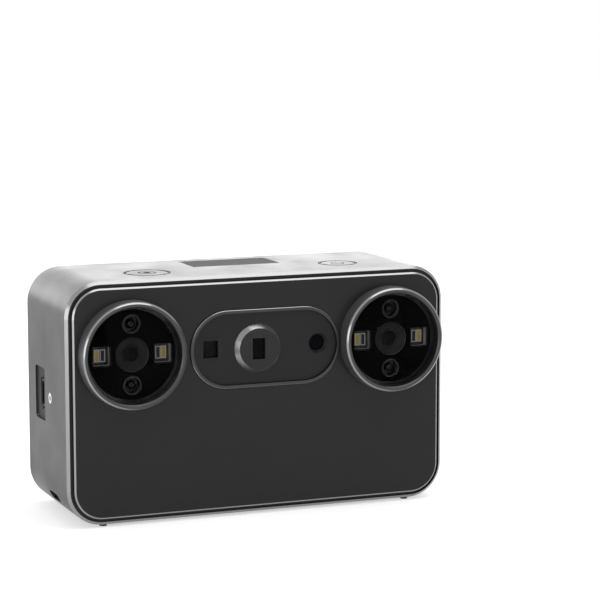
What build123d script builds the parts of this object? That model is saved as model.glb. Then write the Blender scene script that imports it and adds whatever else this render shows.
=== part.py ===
"""Compact hand-held three-d scanner: a metal band frame, a front plate with two camera
clusters and a projector, a rear bezel with a display, and a hinged battery door.
Millimetres, front towards -Y, +X to the right seen from the front, +Z up,
origin on the table under the middle of the case."""

import os
from math import cos, radians, sin

from build123d import *

os.makedirs("parts", exist_ok=True)

# Case
frame_wall = 3.0
frame_corner = 11.6
rim_setback = 1.05
rim_width = 1.15
rim_chamfer = 0.95
shadow_gap = 0.95
gasket_sink = 0.9
panel_thick = 3.0
panel_chamfer = 0.5
seat_gap = 0.05
run_gap = 0.2

# Feet and tripod thread
foot_height = 0.8
foot_radius = 1.2
foot_peg_radius = 0.8
foot_peg_length = 1.5
foot_inset_x = 12.5
foot_inset_y = 3.0
tripod_thread_radius = 2.55
tripod_thread_depth = 6.5
tripod_body_radius = 5.0
tripod_flange_radius = 6.5
tripod_flange_thick = 2.0
tripod_height = 8.0

# Camera clusters
ring_proud = 5.6
ring_chamfer = 0.55
ring_wall = 1.85
ring_taper = 0.2
ring_shoulder = 0.9
ring_ledge = 1.05
ring_top_margin = 3.95
cluster_edge = 1.6
cluster_web = 1.2
led_edge = 1.2
ring_left_margin = 1.55
ring_right_margin = 0.45
window_sink = 3.0
window_thick = 1.0
mask_thick = 2.4
light_board_thick = 1.6
lens_hole_radius = 5.6
lens_nose_sink = 0.4
lens_radius = 3.6
lens_stop_radius = 2.4
lens_cone_radius = 3.5
lens_cone_depth = 0.9
lens_thick = 1.8
lens_crown = 0.55
holder_spigot = 0.8
holder_flange_gap = 0.2
holder_flange_thick = 1.5
holder_tube_radius = 8.0
holder_length = 6.8
holder_bore_radius = 6.0
camera_board_gap = 0.6
camera_board_thick = 1.6
emitter_hole_radius = 3.1
emitter_base_radius = 2.6
emitter_base_thick = 0.5
emitter_dome_radius = 1.6
led_window_width = 6.4
led_window_height = 6.9
led_window_corner = 1.0
led_window_chamfer = 0.4
led_chip_width = 1.7
led_chip_height = 4.0
led_chip_thick = 0.5
led_chip_pitch = 1.9

# Projector pill
pill_length = 52.15
pill_height = 25.8
pill_left_gap = 2.4
pill_right_gap = 0.25
pill_drop = 0.55
pill_proud = 0.8
pill_bead = 1.15
pill_neck_wall = 0.8
pill_bead_round = 0.6
pill_sink = 0.2
pill_flange = 1.45
pill_flange_thick = 1.2
projector_offset = 2.65
projector_drop = 0.15
projector_base_radius = 8.0
projector_face_radius = 6.7
projector_neck_radius = 6.0
projector_proud = 1.5
projector_slot_width = 4.4
projector_slot_height = 7.0
projector_slot_sink = 0.9
projector_glass_width = 6.5
projector_glass_height = 8.9
projector_glass_thick = 1.0
projector_body_width = 14.0
projector_body_height = 14.0
sensor_drop = 0.3
range_inset = 7.4
range_hole_width = 5.0
range_hole_height = 5.5
range_surround = 1.2
range_surround_depth = 0.5
range_lip = 1.2
range_glass = 7.3
range_glass_thick = 1.0
range_body_width = 9.0
range_body_height = 11.0
colour_inset = 7.5
colour_cone_radius = 3.35
colour_hole_radius = 2.5
colour_lip = 1.2
colour_barrel_radius = 4.0
colour_stop_radius = 1.6
colour_lens_radius = 2.6
colour_lens_thick = 1.2
colour_body = 9.0

# Optical bench
bench_thick = 3.0
bench_margin = 5.0
bench_hole_radius = 2.2
post_radius = 2.6
post_spread = 10.6
post_ring_gap = 0.8
screw_radius = 1.0
screw_head_radius = 2.0
screw_head_thick = 1.5
screw_bite = 5.0

# Display
glass_margin_x = 9.4
glass_margin_z = 6.35
glass_corner = 2.6
glass_thick = 1.1
glass_sink = 0.3
glass_ledge = 2.0
lcd_margin_x = 5.5
lcd_margin_z = 2.4
lcd_thick = 2.7
tray_thick = 1.2
tray_margin = 1.5
tray_post_radius = 2.6
tray_post_inset_x = 7.4
tray_post_inset_z = 5.8
tray_screw_bite = 2.4
standoff_radius = 2.5
standoff_inset_x = 9.5
standoff_inset_z = 11.3
scoop_width = 3.9
scoop_length = 34.9
scoop_depth = 1.8
scoop_edge = 1.1
scoop_edge_drop = 0.5
scoop_raise = 10.0

# Main board and heat spreader
board_thick = 1.6
board_margin_x = 2.5
board_margin_z = 5.5
board_rear_gap = 13.27
spreader_width = 60.0
spreader_height = 40.0
spreader_base = 2.0
spreader_fin = 4.0
spreader_fin_thick = 1.2
spreader_fin_count = 12

# Top: buttons and inlay
button_back = 17.5
scan_hole_radius = 7.1
power_hole_radius = 6.0
scan_inset = 32.6
power_inset = 31.2
button_lip = 0.9
button_lip_thick = 1.0
button_stem_radius = 1.5
button_stem_length = 1.2
button_travel = 0.4
button_edge = 0.3
tact_size = 6.0
tact_height = 1.6
tact_plunger_radius = 1.7
tact_plunger_height = 0.5
button_board_width = 13.0
button_board_thick = 1.2
button_board_end = 8.0
button_post_inset = 20.0
inlay_x = 1.0
inlay_rear = 6.0
inlay_width = 31.0
inlay_depth = 16.2
inlay_corner = 0.8
inlay_thick = 1.2
inlay_chamfer = 0.3

# Left side: USB socket, lock thread and lanyard bar
usb_pocket_depth = 0.8
usb_pocket_width = 11.2
usb_pocket_height = 17.4
usb_pocket_corner = 1.2
usb_drop = 0.4
usb_slot_length = 11.2
usb_slot_width = 3.8
usb_shell_length = 8.94
usb_shell_width = 3.26
usb_shell_wall = 0.35
usb_shell_depth = 7.3
usb_back_wall = 1.0
usb_tongue_length = 6.7
usb_tongue_thick = 0.7
usb_tongue_tip = 1.2
lock_ahead = 11.5
lock_outer_radius = 2.1
lock_thread_radius = 0.8
lanyard_back = 20.0
lanyard_angle = 26.5
lanyard_length = 10.0
lanyard_width = 3.0
lanyard_depth = 5.0
lanyard_lug = 2.5
lanyard_lug_depth = 7.0
lanyard_bar_radius = 0.9
lanyard_bar_sink = 2.0
lanyard_bar_bite = 1.2

# Right side: switch panel
side_front_margin = 5.5
side_rear_margin = 17.2
switch_panel_top = 10.55
switch_panel_height = 20.4
switch_panel_thick = 1.2
switch_panel_corner = 2.5
switch_ahead = 0.4
switch_window_width = 8.3
switch_window_height = 5.5
switch_window_corner = 1.2
switch_knob_height = 2.6
switch_knob_sink = 0.35
switch_travel = 2.4
switch_body_width = 10.0
switch_body_height = 9.0
switch_body_depth = 4.0
switch_stem = 1.6
switch_stem_depth = 2.0
pinhole_radius = 0.5
pinhole_behind = 5.0
pinhole_drop = 1.3

# Right side: battery door, latch and battery
door_gap = 0.2
door_top_gap = 0.4
door_height = 30.95
door_leaf = 2.0
door_corner = 3.6
door_panel_gap = 5.9
door_bottom = 10.9
door_knuckle_radius = 1.35
door_hinge_gap = 0.35
hinge_pin_radius = 0.6
hinge_pin_bite = 2.0
latch_ahead = 1.2
latch_window_width = 9.3
latch_window_height = 8.8
latch_window_drop = 6.35
latch_window_corner = 0.8
latch_knob_height = 3.0
latch_knob_sink = 0.3
latch_rib_count = 4
latch_rib_width = 0.6
latch_rib_depth = 0.3
latch_plate_width = 11.2
latch_plate_thick = 0.75
latch_plate_tail = 3.0
latch_skin = 0.7
latch_lip = 1.6
latch_tongue_width = 7.0
latch_tongue_height = 4.0
latch_tongue_sink = 0.3
latch_travel = 2.6
bay_top_margin = 5.0
bay_bottom_margin = 1.5
bay_bench_gap = 0.3
bay_rear_gap = 4.13
bay_length = 63.5
bay_wall = 1.2
bay_rib_thick = 3.0
bay_rib_inset = 12.0
bay_rib_gap = 3.0
battery_width = 11.1
battery_gap = 0.3
battery_round = 1.5
contact_thick = 1.6
contact_pad_thick = 0.2
contact_pad_size = 3.0
contact_pad_pitch = 6.0
contact_pad_count = 3

# Sizes that follow: the case is as large as what it holds
ring_ledge_radius = lens_hole_radius + cluster_web + 2 * emitter_hole_radius + cluster_edge
ring_bore_radius = ring_ledge_radius + ring_ledge
ring_base_radius = ring_bore_radius + ring_wall
ring_front_radius = ring_base_radius - ring_taper
ring_neck_radius = ring_base_radius - ring_shoulder
holder_flange_radius = ring_neck_radius - holder_flange_gap
camera_board_size = 2 * (ring_ledge_radius - camera_board_gap)
emitter_offset = lens_hole_radius + cluster_web + emitter_hole_radius
led_offset = ring_ledge_radius - led_edge - led_window_width / 2
camera_stack = (
    window_thick
    + mask_thick
    + light_board_thick
    + holder_spigot
    + holder_length
    + camera_board_thick
)
bay_width = battery_width + 2 * (battery_gap + bay_wall)
bench_depth = window_sink - ring_proud + camera_stack + bench_thick
body_depth = bench_depth + bay_bench_gap + bay_width + bay_rear_gap + board_thick + board_rear_gap
pill_space = pill_left_gap + pill_length + pill_right_gap
plate_width = ring_left_margin + 2 * ring_base_radius + pill_space + 2 * ring_base_radius + ring_right_margin
frame_width = plate_width + 2 * (shadow_gap + rim_width)
frame_height = door_bottom + door_height + door_panel_gap + switch_panel_height + switch_panel_top
plate_height = frame_height - 2 * (shadow_gap + rim_width)

# Levels and faces
total_depth = ring_proud + body_depth
ring_front = -total_depth / 2
plate_y = ring_front + ring_proud
plate_back = plate_y + panel_thick
bezel_y = total_depth / 2
bezel_front = bezel_y - panel_thick
frame_front = plate_y + rim_setback
frame_rear = bezel_y - rim_setback
frame_depth = frame_rear - frame_front
base_z = foot_height
top_z = base_z + frame_height
mid_z = (base_z + top_z) / 2
floor_z = base_z + frame_wall
ceiling_z = top_z - frame_wall
left_face = -frame_width / 2
right_face = frame_width / 2
inside_x = right_face - frame_wall
inner_width = frame_width - 2 * frame_wall
inner_height = frame_height - 2 * frame_wall
inner_corner = frame_corner - frame_wall
rabbet_width = frame_width - 2 * rim_width
rabbet_height = frame_height - 2 * rim_width
rabbet_corner = frame_corner - rim_width
plate_corner = rabbet_corner - shadow_gap

camera_z = mid_z + plate_height / 2 - ring_top_margin - ring_base_radius
left_camera_x = -plate_width / 2 + ring_left_margin + ring_base_radius
right_camera_x = plate_width / 2 - ring_right_margin - ring_base_radius
cameras = {"left": left_camera_x, "right": right_camera_x}
window_front = ring_front + window_sink
mask_front = window_front + window_thick
light_board_front = mask_front + mask_thick
light_board_back = light_board_front + light_board_thick
ring_back = light_board_back + holder_spigot
camera_board_front = ring_back + holder_length
bench_front = camera_board_front + camera_board_thick
bench_back = bench_front + bench_thick

pill_left = left_camera_x + ring_base_radius + pill_left_gap
pill_right = pill_left + pill_length
pill_x = (pill_left + pill_right) / 2
pill_z = camera_z - pill_drop
pill_face = plate_y + pill_sink
pill_back = plate_back + pill_flange_thick
pill_open_length = pill_length - 2 * pill_bead
pill_open_height = pill_height - 2 * pill_bead
projector_x = pill_x - projector_offset
projector_z = pill_z - projector_drop
projector_face = pill_face - projector_proud
projector_glass_front = projector_face + projector_slot_sink
projector_glass_back = projector_glass_front + projector_glass_thick
range_x = pill_left + range_inset
range_glass_front = pill_face + range_lip
range_glass_back = range_glass_front + range_glass_thick
colour_x = pill_right - colour_inset
colour_front = pill_face + colour_lip

post_reach = ring_neck_radius + post_radius + post_ring_gap
post_run = (post_reach**2 - post_spread**2) ** 0.5
post_spots = [
    (left_camera_x + post_run, camera_z - mid_z + post_spread),
    (left_camera_x + post_run, camera_z - mid_z - post_spread),
    (right_camera_x - post_run, camera_z - mid_z + post_spread),
    (right_camera_x - post_run, camera_z - mid_z - post_spread),
]

glass_width = plate_width - 2 * glass_margin_x
glass_height = plate_height - 2 * glass_margin_z
lcd_width = glass_width - 2 * lcd_margin_x
lcd_height = glass_height - 2 * lcd_margin_z
glass_rear = bezel_y - glass_sink
glass_front = glass_rear - glass_thick
lcd_front = glass_front - lcd_thick
tray_front = lcd_front - tray_thick
tray_post_x = plate_width / 2 - tray_post_inset_x
tray_post_z = plate_height / 2 - tray_post_inset_z
standoff_x = plate_width / 2 - standoff_inset_x
standoff_z = plate_height / 2 - standoff_inset_z
board_rear = bezel_y - board_rear_gap
board_front = board_rear - board_thick
spreader_fin_pitch = (spreader_width - spreader_fin_thick) / (spreader_fin_count - 1)

scan_x = left_face + scan_inset
power_x = right_face - power_inset
buttons = {"scan_button": (scan_x, scan_hole_radius), "power_button": (power_x, power_hole_radius)}
button_y = plate_y + button_back
button_lip_top = ceiling_z - seat_gap
button_foot = button_lip_top - button_lip_thick - button_stem_length
tact_top = button_foot - button_travel - seat_gap
button_board_top = tact_top - tact_plunger_height - tact_height
button_post_length = ceiling_z - button_board_top
button_posts = [scan_x + button_post_inset, power_x - button_post_inset]
inlay_y = frame_rear - inlay_rear - inlay_depth / 2

usb_y = board_front - usb_shell_width / 2
usb_floor = left_face + usb_pocket_depth
lock_y = usb_y - lock_ahead

side_front = plate_y + side_front_margin
side_rear = bezel_y - side_rear_margin
side_width = side_rear - side_front
side_y = (side_front + side_rear) / 2
switch_panel_v = frame_height / 2 - switch_panel_top - switch_panel_height / 2
switch_y = side_y - switch_ahead
switch_floor = right_face - switch_panel_thick
switch_rise = (switch_window_height - switch_knob_height) / 2 - run_gap
switch_knob_width = switch_window_width - 2 * run_gap
pinhole_y = side_rear + pinhole_behind
pinhole_v = switch_panel_v - switch_panel_height / 2 - pinhole_drop

door_low = base_z + door_bottom
door_top = door_low + door_height
door_floor = right_face - door_leaf - door_gap
door_inner = right_face - door_leaf
hinge_x = right_face - door_knuckle_radius
hinge_z = door_low + door_knuckle_radius
latch_y = side_y - latch_ahead
latch_v = door_top - mid_z - latch_window_drop - latch_window_height / 2
latch_plate_outer = right_face - latch_skin - seat_gap
latch_plate_inner = latch_plate_outer - latch_plate_thick
latch_tongue_top = door_top - latch_tongue_sink
latch_shoulder = latch_tongue_top - latch_tongue_height
latch_tail = mid_z + latch_v - latch_window_height / 2 - latch_plate_tail

bay_front = bench_back + bay_bench_gap
bay_rear = board_front - bay_rear_gap
bay_y = (bay_front + bay_rear) / 2
bay_low = door_low + bay_bottom_margin
bay_top = door_top - bay_top_margin
bay_v = (bay_low + bay_top) / 2 - mid_z
bay_height = bay_top - bay_low
bay_end = inside_x - bay_length
bay_ribs = [tripod_flange_radius + bay_rib_gap + bay_rib_thick / 2, inside_x - bay_rib_inset]
battery_height = bay_height - 2 * bay_wall - 2 * battery_gap
battery_inner = bay_end + bay_wall + contact_thick + contact_pad_thick
battery_outer = inside_x - battery_gap


def facing_front(y):
    """Plane across the case at y; sketch axes X and Z from the middle, extruding forwards."""
    return Plane(origin=(0, y, mid_z), x_dir=(1, 0, 0), z_dir=(0, -1, 0))


def facing_right(x):
    """Plane along the case at x; sketch axes Y and Z from the middle, extruding to +X."""
    return Plane(origin=(x, 0, mid_z), x_dir=(0, 1, 0), z_dir=(1, 0, 0))


def rounded(plane, u, v, width, height, corner):
    with BuildSketch(plane) as outline:
        with Locations((u, v)):
            RectangleRounded(width, height, corner)
    return outline.sketch


def oblong(plane, u, v, width, height):
    with BuildSketch(plane) as outline:
        with Locations((u, v)):
            Rectangle(width, height)
    return outline.sketch


def stadium(plane, u, v, length, width, turn=0):
    with BuildSketch(plane) as outline:
        with Locations((u, v)):
            SlotOverall(length, width, rotation=turn)
    return outline.sketch


def disc(plane, u, v, radius):
    with BuildSketch(plane) as outline:
        with Locations((u, v)):
            Circle(radius)
    return outline.sketch


def discs(plane, spots, radius):
    with BuildSketch(plane) as outline:
        with Locations(*spots):
            Circle(radius)
    return outline.sketch


def turned(x, z, profile):
    """Solid turned about the front-to-back line through x and z; profile points are (radius, y)."""
    with BuildPart() as solid:
        with BuildSketch(Plane(origin=(x, 0, z), x_dir=(1, 0, 0), z_dir=(0, 0, 1))):
            with BuildLine():
                Polyline(*profile, close=True)
            make_face()
        revolve(axis=Axis((x, 0, z), (0, 1, 0)))
    return solid


pieces = {}

# Lanyard pocket: a plane on the lower left corner, looking into the case
lanyard_out = Vector(-cos(radians(lanyard_angle)), 0, -sin(radians(lanyard_angle)))
lanyard_along = Vector(sin(radians(lanyard_angle)), 0, -cos(radians(lanyard_angle)))
lanyard_hub = Vector(left_face + frame_corner, plate_y + lanyard_back, base_z + frame_corner)
lanyard_mouth = Plane(lanyard_hub + lanyard_out * frame_corner, x_dir=(0, 1, 0), z_dir=-lanyard_out)
lanyard_skin = Plane(
    lanyard_hub + lanyard_out * (frame_corner - frame_wall / 2), x_dir=(0, 1, 0), z_dir=-lanyard_out
)
lanyard_bar_length = lanyard_width + 2 * lanyard_bar_bite
lanyard_bar_start = Plane(
    lanyard_hub
    + lanyard_out * (frame_corner - lanyard_bar_sink)
    - lanyard_along * (lanyard_bar_length / 2),
    x_dir=(0, 1, 0),
    z_dir=lanyard_along,
)

foot_spots = [
    (side * (right_face - foot_inset_x), end)
    for side in (-1, 1)
    for end in (frame_front + foot_inset_y, frame_rear - foot_inset_y)
]

# Frame: the metal band that everything is built into
with BuildPart() as frame:
    extrude(
        rounded(facing_front(frame_rear), 0, 0, frame_width, frame_height, frame_corner),
        amount=frame_depth,
    )
    frame_ends = frame.faces().sort_by(Axis.Y)
    chamfer(frame_ends[0].edges() + frame_ends[-1].edges(), rim_chamfer)
    extrude(
        rounded(facing_front(frame_rear), 0, 0, inner_width, inner_height, inner_corner),
        amount=frame_depth,
        mode=Mode.SUBTRACT,
    )
    extrude(
        rounded(facing_front(plate_back), 0, 0, rabbet_width, rabbet_height, rabbet_corner),
        amount=panel_thick,
        mode=Mode.SUBTRACT,
    )
    extrude(
        rounded(facing_front(bezel_front), 0, 0, rabbet_width, rabbet_height, rabbet_corner),
        amount=-panel_thick,
        mode=Mode.SUBTRACT,
    )
    # Bosses for the button board and the lanyard lug
    for post_x in button_posts:
        extrude(disc(Plane.XY.offset(ceiling_z), post_x, button_y, post_radius), amount=-button_post_length)
        extrude(
            disc(Plane.XY.offset(button_board_top), post_x, button_y, screw_radius),
            amount=button_post_length,
            mode=Mode.SUBTRACT,
        )
    extrude(
        oblong(lanyard_skin, 0, 0, lanyard_length + 2 * lanyard_lug, lanyard_width + 2 * lanyard_lug),
        amount=lanyard_lug_depth,
    )
    extrude(
        stadium(lanyard_mouth, 0, 0, lanyard_length, lanyard_width),
        amount=lanyard_depth,
        mode=Mode.SUBTRACT,
    )
    extrude(
        disc(lanyard_bar_start, 0, 0, lanyard_bar_radius),
        amount=lanyard_bar_length,
        mode=Mode.SUBTRACT,
    )
    # USB pocket, USB slot and lock thread on the left side
    extrude(
        rounded(
            facing_right(left_face),
            usb_y,
            -usb_drop,
            usb_pocket_width,
            usb_pocket_height,
            usb_pocket_corner,
        ),
        amount=usb_pocket_depth,
        mode=Mode.SUBTRACT,
    )
    extrude(
        stadium(facing_right(left_face), usb_y, -usb_drop, usb_slot_length, usb_slot_width, 90),
        amount=frame_wall,
        mode=Mode.SUBTRACT,
    )
    extrude(
        disc(facing_right(left_face), lock_y, -usb_drop, lock_outer_radius),
        amount=frame_wall,
        mode=Mode.SUBTRACT,
    )
    # Button holes and inlay recess on top
    for hole_x, hole_radius in buttons.values():
        extrude(
            disc(Plane.XY.offset(top_z), hole_x, button_y, hole_radius),
            amount=-frame_wall,
            mode=Mode.SUBTRACT,
        )
    extrude(
        rounded(Plane.XY.offset(top_z), inlay_x, inlay_y, inlay_width, inlay_depth, inlay_corner),
        amount=-inlay_thick,
        mode=Mode.SUBTRACT,
    )
    # Tripod hole and foot sockets below
    extrude(
        disc(Plane.XY.offset(base_z), 0, (frame_front + frame_rear) / 2, tripod_body_radius),
        amount=frame_wall,
        mode=Mode.SUBTRACT,
    )
    extrude(
        discs(Plane.XY.offset(base_z), foot_spots, foot_peg_radius),
        amount=foot_peg_length,
        mode=Mode.SUBTRACT,
    )
    # Switch panel recess, switch opening and pinhole on the right side
    extrude(
        rounded(
            facing_right(right_face),
            side_y,
            switch_panel_v,
            side_width,
            switch_panel_height,
            switch_panel_corner,
        ),
        amount=-switch_panel_thick,
        mode=Mode.SUBTRACT,
    )
    extrude(
        oblong(
            facing_right(right_face),
            switch_y,
            switch_panel_v,
            switch_window_width,
            switch_window_height,
        ),
        amount=-frame_wall,
        mode=Mode.SUBTRACT,
    )
    extrude(
        disc(facing_right(right_face), pinhole_y, pinhole_v, pinhole_radius),
        amount=-frame_wall,
        mode=Mode.SUBTRACT,
    )
    # Door recess with rounded upper corners, bay opening, hinge trough, pin holes and latch pocket
    with BuildSketch(facing_right(right_face)) as door_recess:
        with Locations((side_y, (door_low - door_hinge_gap + door_top + door_top_gap) / 2 - mid_z)):
            Rectangle(side_width, door_top + door_top_gap - door_low + door_hinge_gap)
        fillet(door_recess.vertices().group_by(Axis.Y)[-1], door_corner + door_gap)
    extrude(amount=-(right_face - door_floor), mode=Mode.SUBTRACT)
    extrude(
        oblong(facing_right(inside_x), bay_y, bay_v, bay_width - 2 * bay_wall, bay_height - 2 * bay_wall),
        amount=frame_wall,
        mode=Mode.SUBTRACT,
    )
    extrude(
        oblong(
            facing_right(inside_x),
            side_y,
            hinge_z - mid_z,
            side_width,
            2 * (door_knuckle_radius + door_hinge_gap),
        ),
        amount=frame_wall,
        mode=Mode.SUBTRACT,
    )
    with BuildSketch(Plane(origin=(hinge_x, side_front - hinge_pin_bite, hinge_z), z_dir=(0, 1, 0))):
        Circle(hinge_pin_radius)
    extrude(amount=side_width + 2 * hinge_pin_bite, mode=Mode.SUBTRACT)
    with BuildSketch(Plane.XY.offset(door_top)):
        with Locations(((latch_plate_inner + latch_plate_outer) / 2, latch_y)):
            Rectangle(latch_plate_thick + 2 * run_gap, latch_tongue_width + 2 * run_gap)
    extrude(amount=latch_travel + run_gap, mode=Mode.SUBTRACT)
pieces["frame"] = frame

# Front plate with two camera holes, the pill hole and the bench posts
with BuildPart() as front_plate:
    extrude(
        rounded(facing_front(plate_back), 0, 0, plate_width, plate_height, plate_corner),
        amount=panel_thick,
    )
    chamfer(front_plate.faces().sort_by(Axis.Y)[0].edges(), panel_chamfer)
    extrude(discs(facing_front(bench_front), post_spots, post_radius), amount=bench_front - plate_back)
    for camera_x in cameras.values():
        extrude(
            disc(facing_front(plate_back), camera_x, camera_z - mid_z, ring_neck_radius + seat_gap),
            amount=panel_thick,
            mode=Mode.SUBTRACT,
        )
    extrude(
        stadium(
            facing_front(plate_back),
            pill_x,
            pill_z - mid_z,
            pill_open_length + 2 * (pill_neck_wall + seat_gap),
            pill_open_height + 2 * (pill_neck_wall + seat_gap),
        ),
        amount=panel_thick,
        mode=Mode.SUBTRACT,
    )
    extrude(
        discs(facing_front(bench_front), post_spots, screw_radius),
        amount=screw_bite,
        mode=Mode.SUBTRACT,
    )
pieces["front_plate"] = front_plate

# Gaskets that close the shadow gaps round both panels
gasket_height = panel_thick - rim_setback - gasket_sink
with BuildPart() as gaskets:
    for gasket_y, gasket_run in ((plate_back, gasket_height), (bezel_front, -gasket_height)):
        with BuildSketch(facing_front(gasket_y)):
            RectangleRounded(rabbet_width, rabbet_height, rabbet_corner)
            RectangleRounded(plate_width, plate_height, plate_corner, mode=Mode.SUBTRACT)
        extrude(amount=gasket_run)
pieces["gaskets"] = gaskets

# Camera clusters, left and right
led_spots = [(sign * led_offset, sign) for sign in (-1, 1)]
for side, camera_x in cameras.items():
    camera_v = camera_z - mid_z
    emitter_spots = [(camera_x, camera_v + emitter_offset), (camera_x, camera_v - emitter_offset)]

    camera_ring = turned(
        camera_x,
        camera_z,
        [
            (ring_bore_radius + ring_chamfer / 2, ring_front),
            (ring_front_radius - ring_chamfer, ring_front),
            (ring_front_radius, ring_front + ring_chamfer),
            (ring_base_radius, plate_y),
            (ring_neck_radius, plate_y),
            (ring_neck_radius, ring_back),
            (ring_ledge_radius, ring_back),
            (ring_ledge_radius, mask_front),
            (ring_bore_radius, mask_front),
            (ring_bore_radius, ring_front + ring_chamfer / 2),
        ],
    )
    pieces[f"camera_ring_{side}"] = camera_ring

    with BuildPart() as camera_window:
        extrude(
            disc(facing_front(mask_front), camera_x, camera_v, ring_bore_radius - seat_gap),
            amount=window_thick,
        )
    pieces[f"camera_window_{side}"] = camera_window

    with BuildPart() as camera_mask:
        extrude(
            disc(facing_front(light_board_front), camera_x, camera_v, ring_ledge_radius - seat_gap),
            amount=mask_thick,
        )
        extrude(
            disc(facing_front(light_board_front), camera_x, camera_v, lens_hole_radius),
            amount=mask_thick,
            mode=Mode.SUBTRACT,
        )
        extrude(
            discs(facing_front(light_board_front), emitter_spots, emitter_hole_radius),
            amount=mask_thick,
            mode=Mode.SUBTRACT,
        )
        for led_u, sign in led_spots:
            extrude(
                rounded(
                    facing_front(light_board_front),
                    camera_x + led_u,
                    camera_v,
                    led_window_width - 2 * led_window_chamfer,
                    led_window_height - 2 * led_window_chamfer,
                    led_window_corner - led_window_chamfer,
                ),
                amount=mask_thick,
                mode=Mode.SUBTRACT,
            )
            extrude(
                rounded(
                    facing_front(mask_front),
                    camera_x + led_u,
                    camera_v,
                    led_window_width,
                    led_window_height,
                    led_window_corner,
                ),
                amount=-led_window_chamfer,
                mode=Mode.SUBTRACT,
            )
    pieces[f"camera_mask_{side}"] = camera_mask

    with BuildPart() as light_board:
        extrude(
            disc(facing_front(light_board_back), camera_x, camera_v, ring_ledge_radius - seat_gap),
            amount=light_board_thick,
        )
        extrude(
            disc(facing_front(light_board_back), camera_x, camera_v, lens_hole_radius),
            amount=light_board_thick,
            mode=Mode.SUBTRACT,
        )
    pieces[f"light_board_{side}"] = light_board

    nose_front = mask_front + lens_nose_sink
    nose_radius = lens_hole_radius - run_gap / 2
    lens_front = nose_front + lens_cone_depth
    lens_holder = turned(
        camera_x,
        camera_z,
        [
            (lens_cone_radius, nose_front),
            (nose_radius, nose_front),
            (nose_radius, light_board_back),
            (ring_ledge_radius - seat_gap, light_board_back),
            (ring_ledge_radius - seat_gap, ring_back),
            (holder_flange_radius, ring_back),
            (holder_flange_radius, ring_back + holder_flange_thick),
            (holder_tube_radius, ring_back + holder_flange_thick),
            (holder_tube_radius, camera_board_front),
            (holder_bore_radius, camera_board_front),
            (holder_bore_radius, ring_back),
            (lens_radius, lens_front + lens_thick),
            (lens_radius, lens_front),
            (lens_stop_radius, lens_front),
        ],
    )
    pieces[f"lens_holder_{side}"] = lens_holder

    with BuildPart() as lens:
        with BuildSketch(Plane(origin=(camera_x, 0, camera_z), x_dir=(1, 0, 0), z_dir=(0, 0, 1))):
            with BuildLine():
                lens_rim = lens_front + seat_gap
                crown = lens_rim - lens_crown
                Polyline(
                    (lens_stop_radius - seat_gap, lens_rim),
                    (lens_radius - seat_gap, lens_rim),
                    (lens_radius - seat_gap, lens_front + lens_thick),
                    (0, lens_front + lens_thick),
                    (0, crown),
                )
                SagittaArc((0, crown), (lens_stop_radius - seat_gap, lens_rim), -lens_crown / 4)
            make_face()
        revolve(axis=Axis((camera_x, 0, camera_z), (0, 1, 0)))
    pieces[f"lens_{side}"] = lens

    with BuildPart() as camera_board:
        extrude(
            oblong(facing_front(bench_front), camera_x, camera_v, camera_board_size, camera_board_size),
            amount=camera_board_thick,
        )
    pieces[f"camera_board_{side}"] = camera_board

# Light sources on the two light boards: infrared emitters, warm chips outside, cool chips inside
with BuildPart() as ir_emitters:
    for camera_x in cameras.values():
        for sign in (-1, 1):
            emitter_v = camera_z - mid_z + sign * emitter_offset
            extrude(
                disc(facing_front(light_board_front), camera_x, emitter_v, emitter_base_radius),
                amount=emitter_base_thick,
            )
            with Locations((camera_x, light_board_front - emitter_base_thick, mid_z + emitter_v)):
                Sphere(
                    emitter_dome_radius,
                    0,
                    rotation=(90, 0, 0),
                    align=(Align.CENTER, Align.CENTER, Align.MIN),
                )
pieces["ir_emitters"] = ir_emitters

for name, step in (("warm_leds", led_chip_pitch / 2), ("cool_leds", -led_chip_pitch / 2)):
    with BuildPart() as led_chips:
        for camera_x in cameras.values():
            for led_u, sign in led_spots:
                extrude(
                    oblong(
                        facing_front(light_board_front),
                        camera_x + led_u + sign * step,
                        camera_z - mid_z,
                        led_chip_width,
                        led_chip_height,
                    ),
                    amount=led_chip_thick,
                )
    pieces[name] = led_chips

# Pill: beaded bezel, floor panel and what looks out of it
pill_v = pill_z - mid_z
projector_v = projector_z - mid_z
sensor_v = camera_z - sensor_drop - mid_z
with BuildPart() as pill_bezel:
    extrude(stadium(facing_front(plate_y), pill_x, pill_v, pill_length, pill_height), amount=pill_proud)
    fillet(pill_bezel.faces().sort_by(Axis.Y)[0].edges(), pill_bead_round)
    extrude(
        stadium(
            facing_front(plate_back),
            pill_x,
            pill_v,
            pill_open_length + 2 * pill_neck_wall,
            pill_open_height + 2 * pill_neck_wall,
        ),
        amount=panel_thick,
    )
    extrude(
        stadium(facing_front(plate_back), pill_x, pill_v, pill_open_length, pill_open_height),
        amount=panel_thick + pill_proud,
        mode=Mode.SUBTRACT,
    )
pieces["pill_bezel"] = pill_bezel

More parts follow.
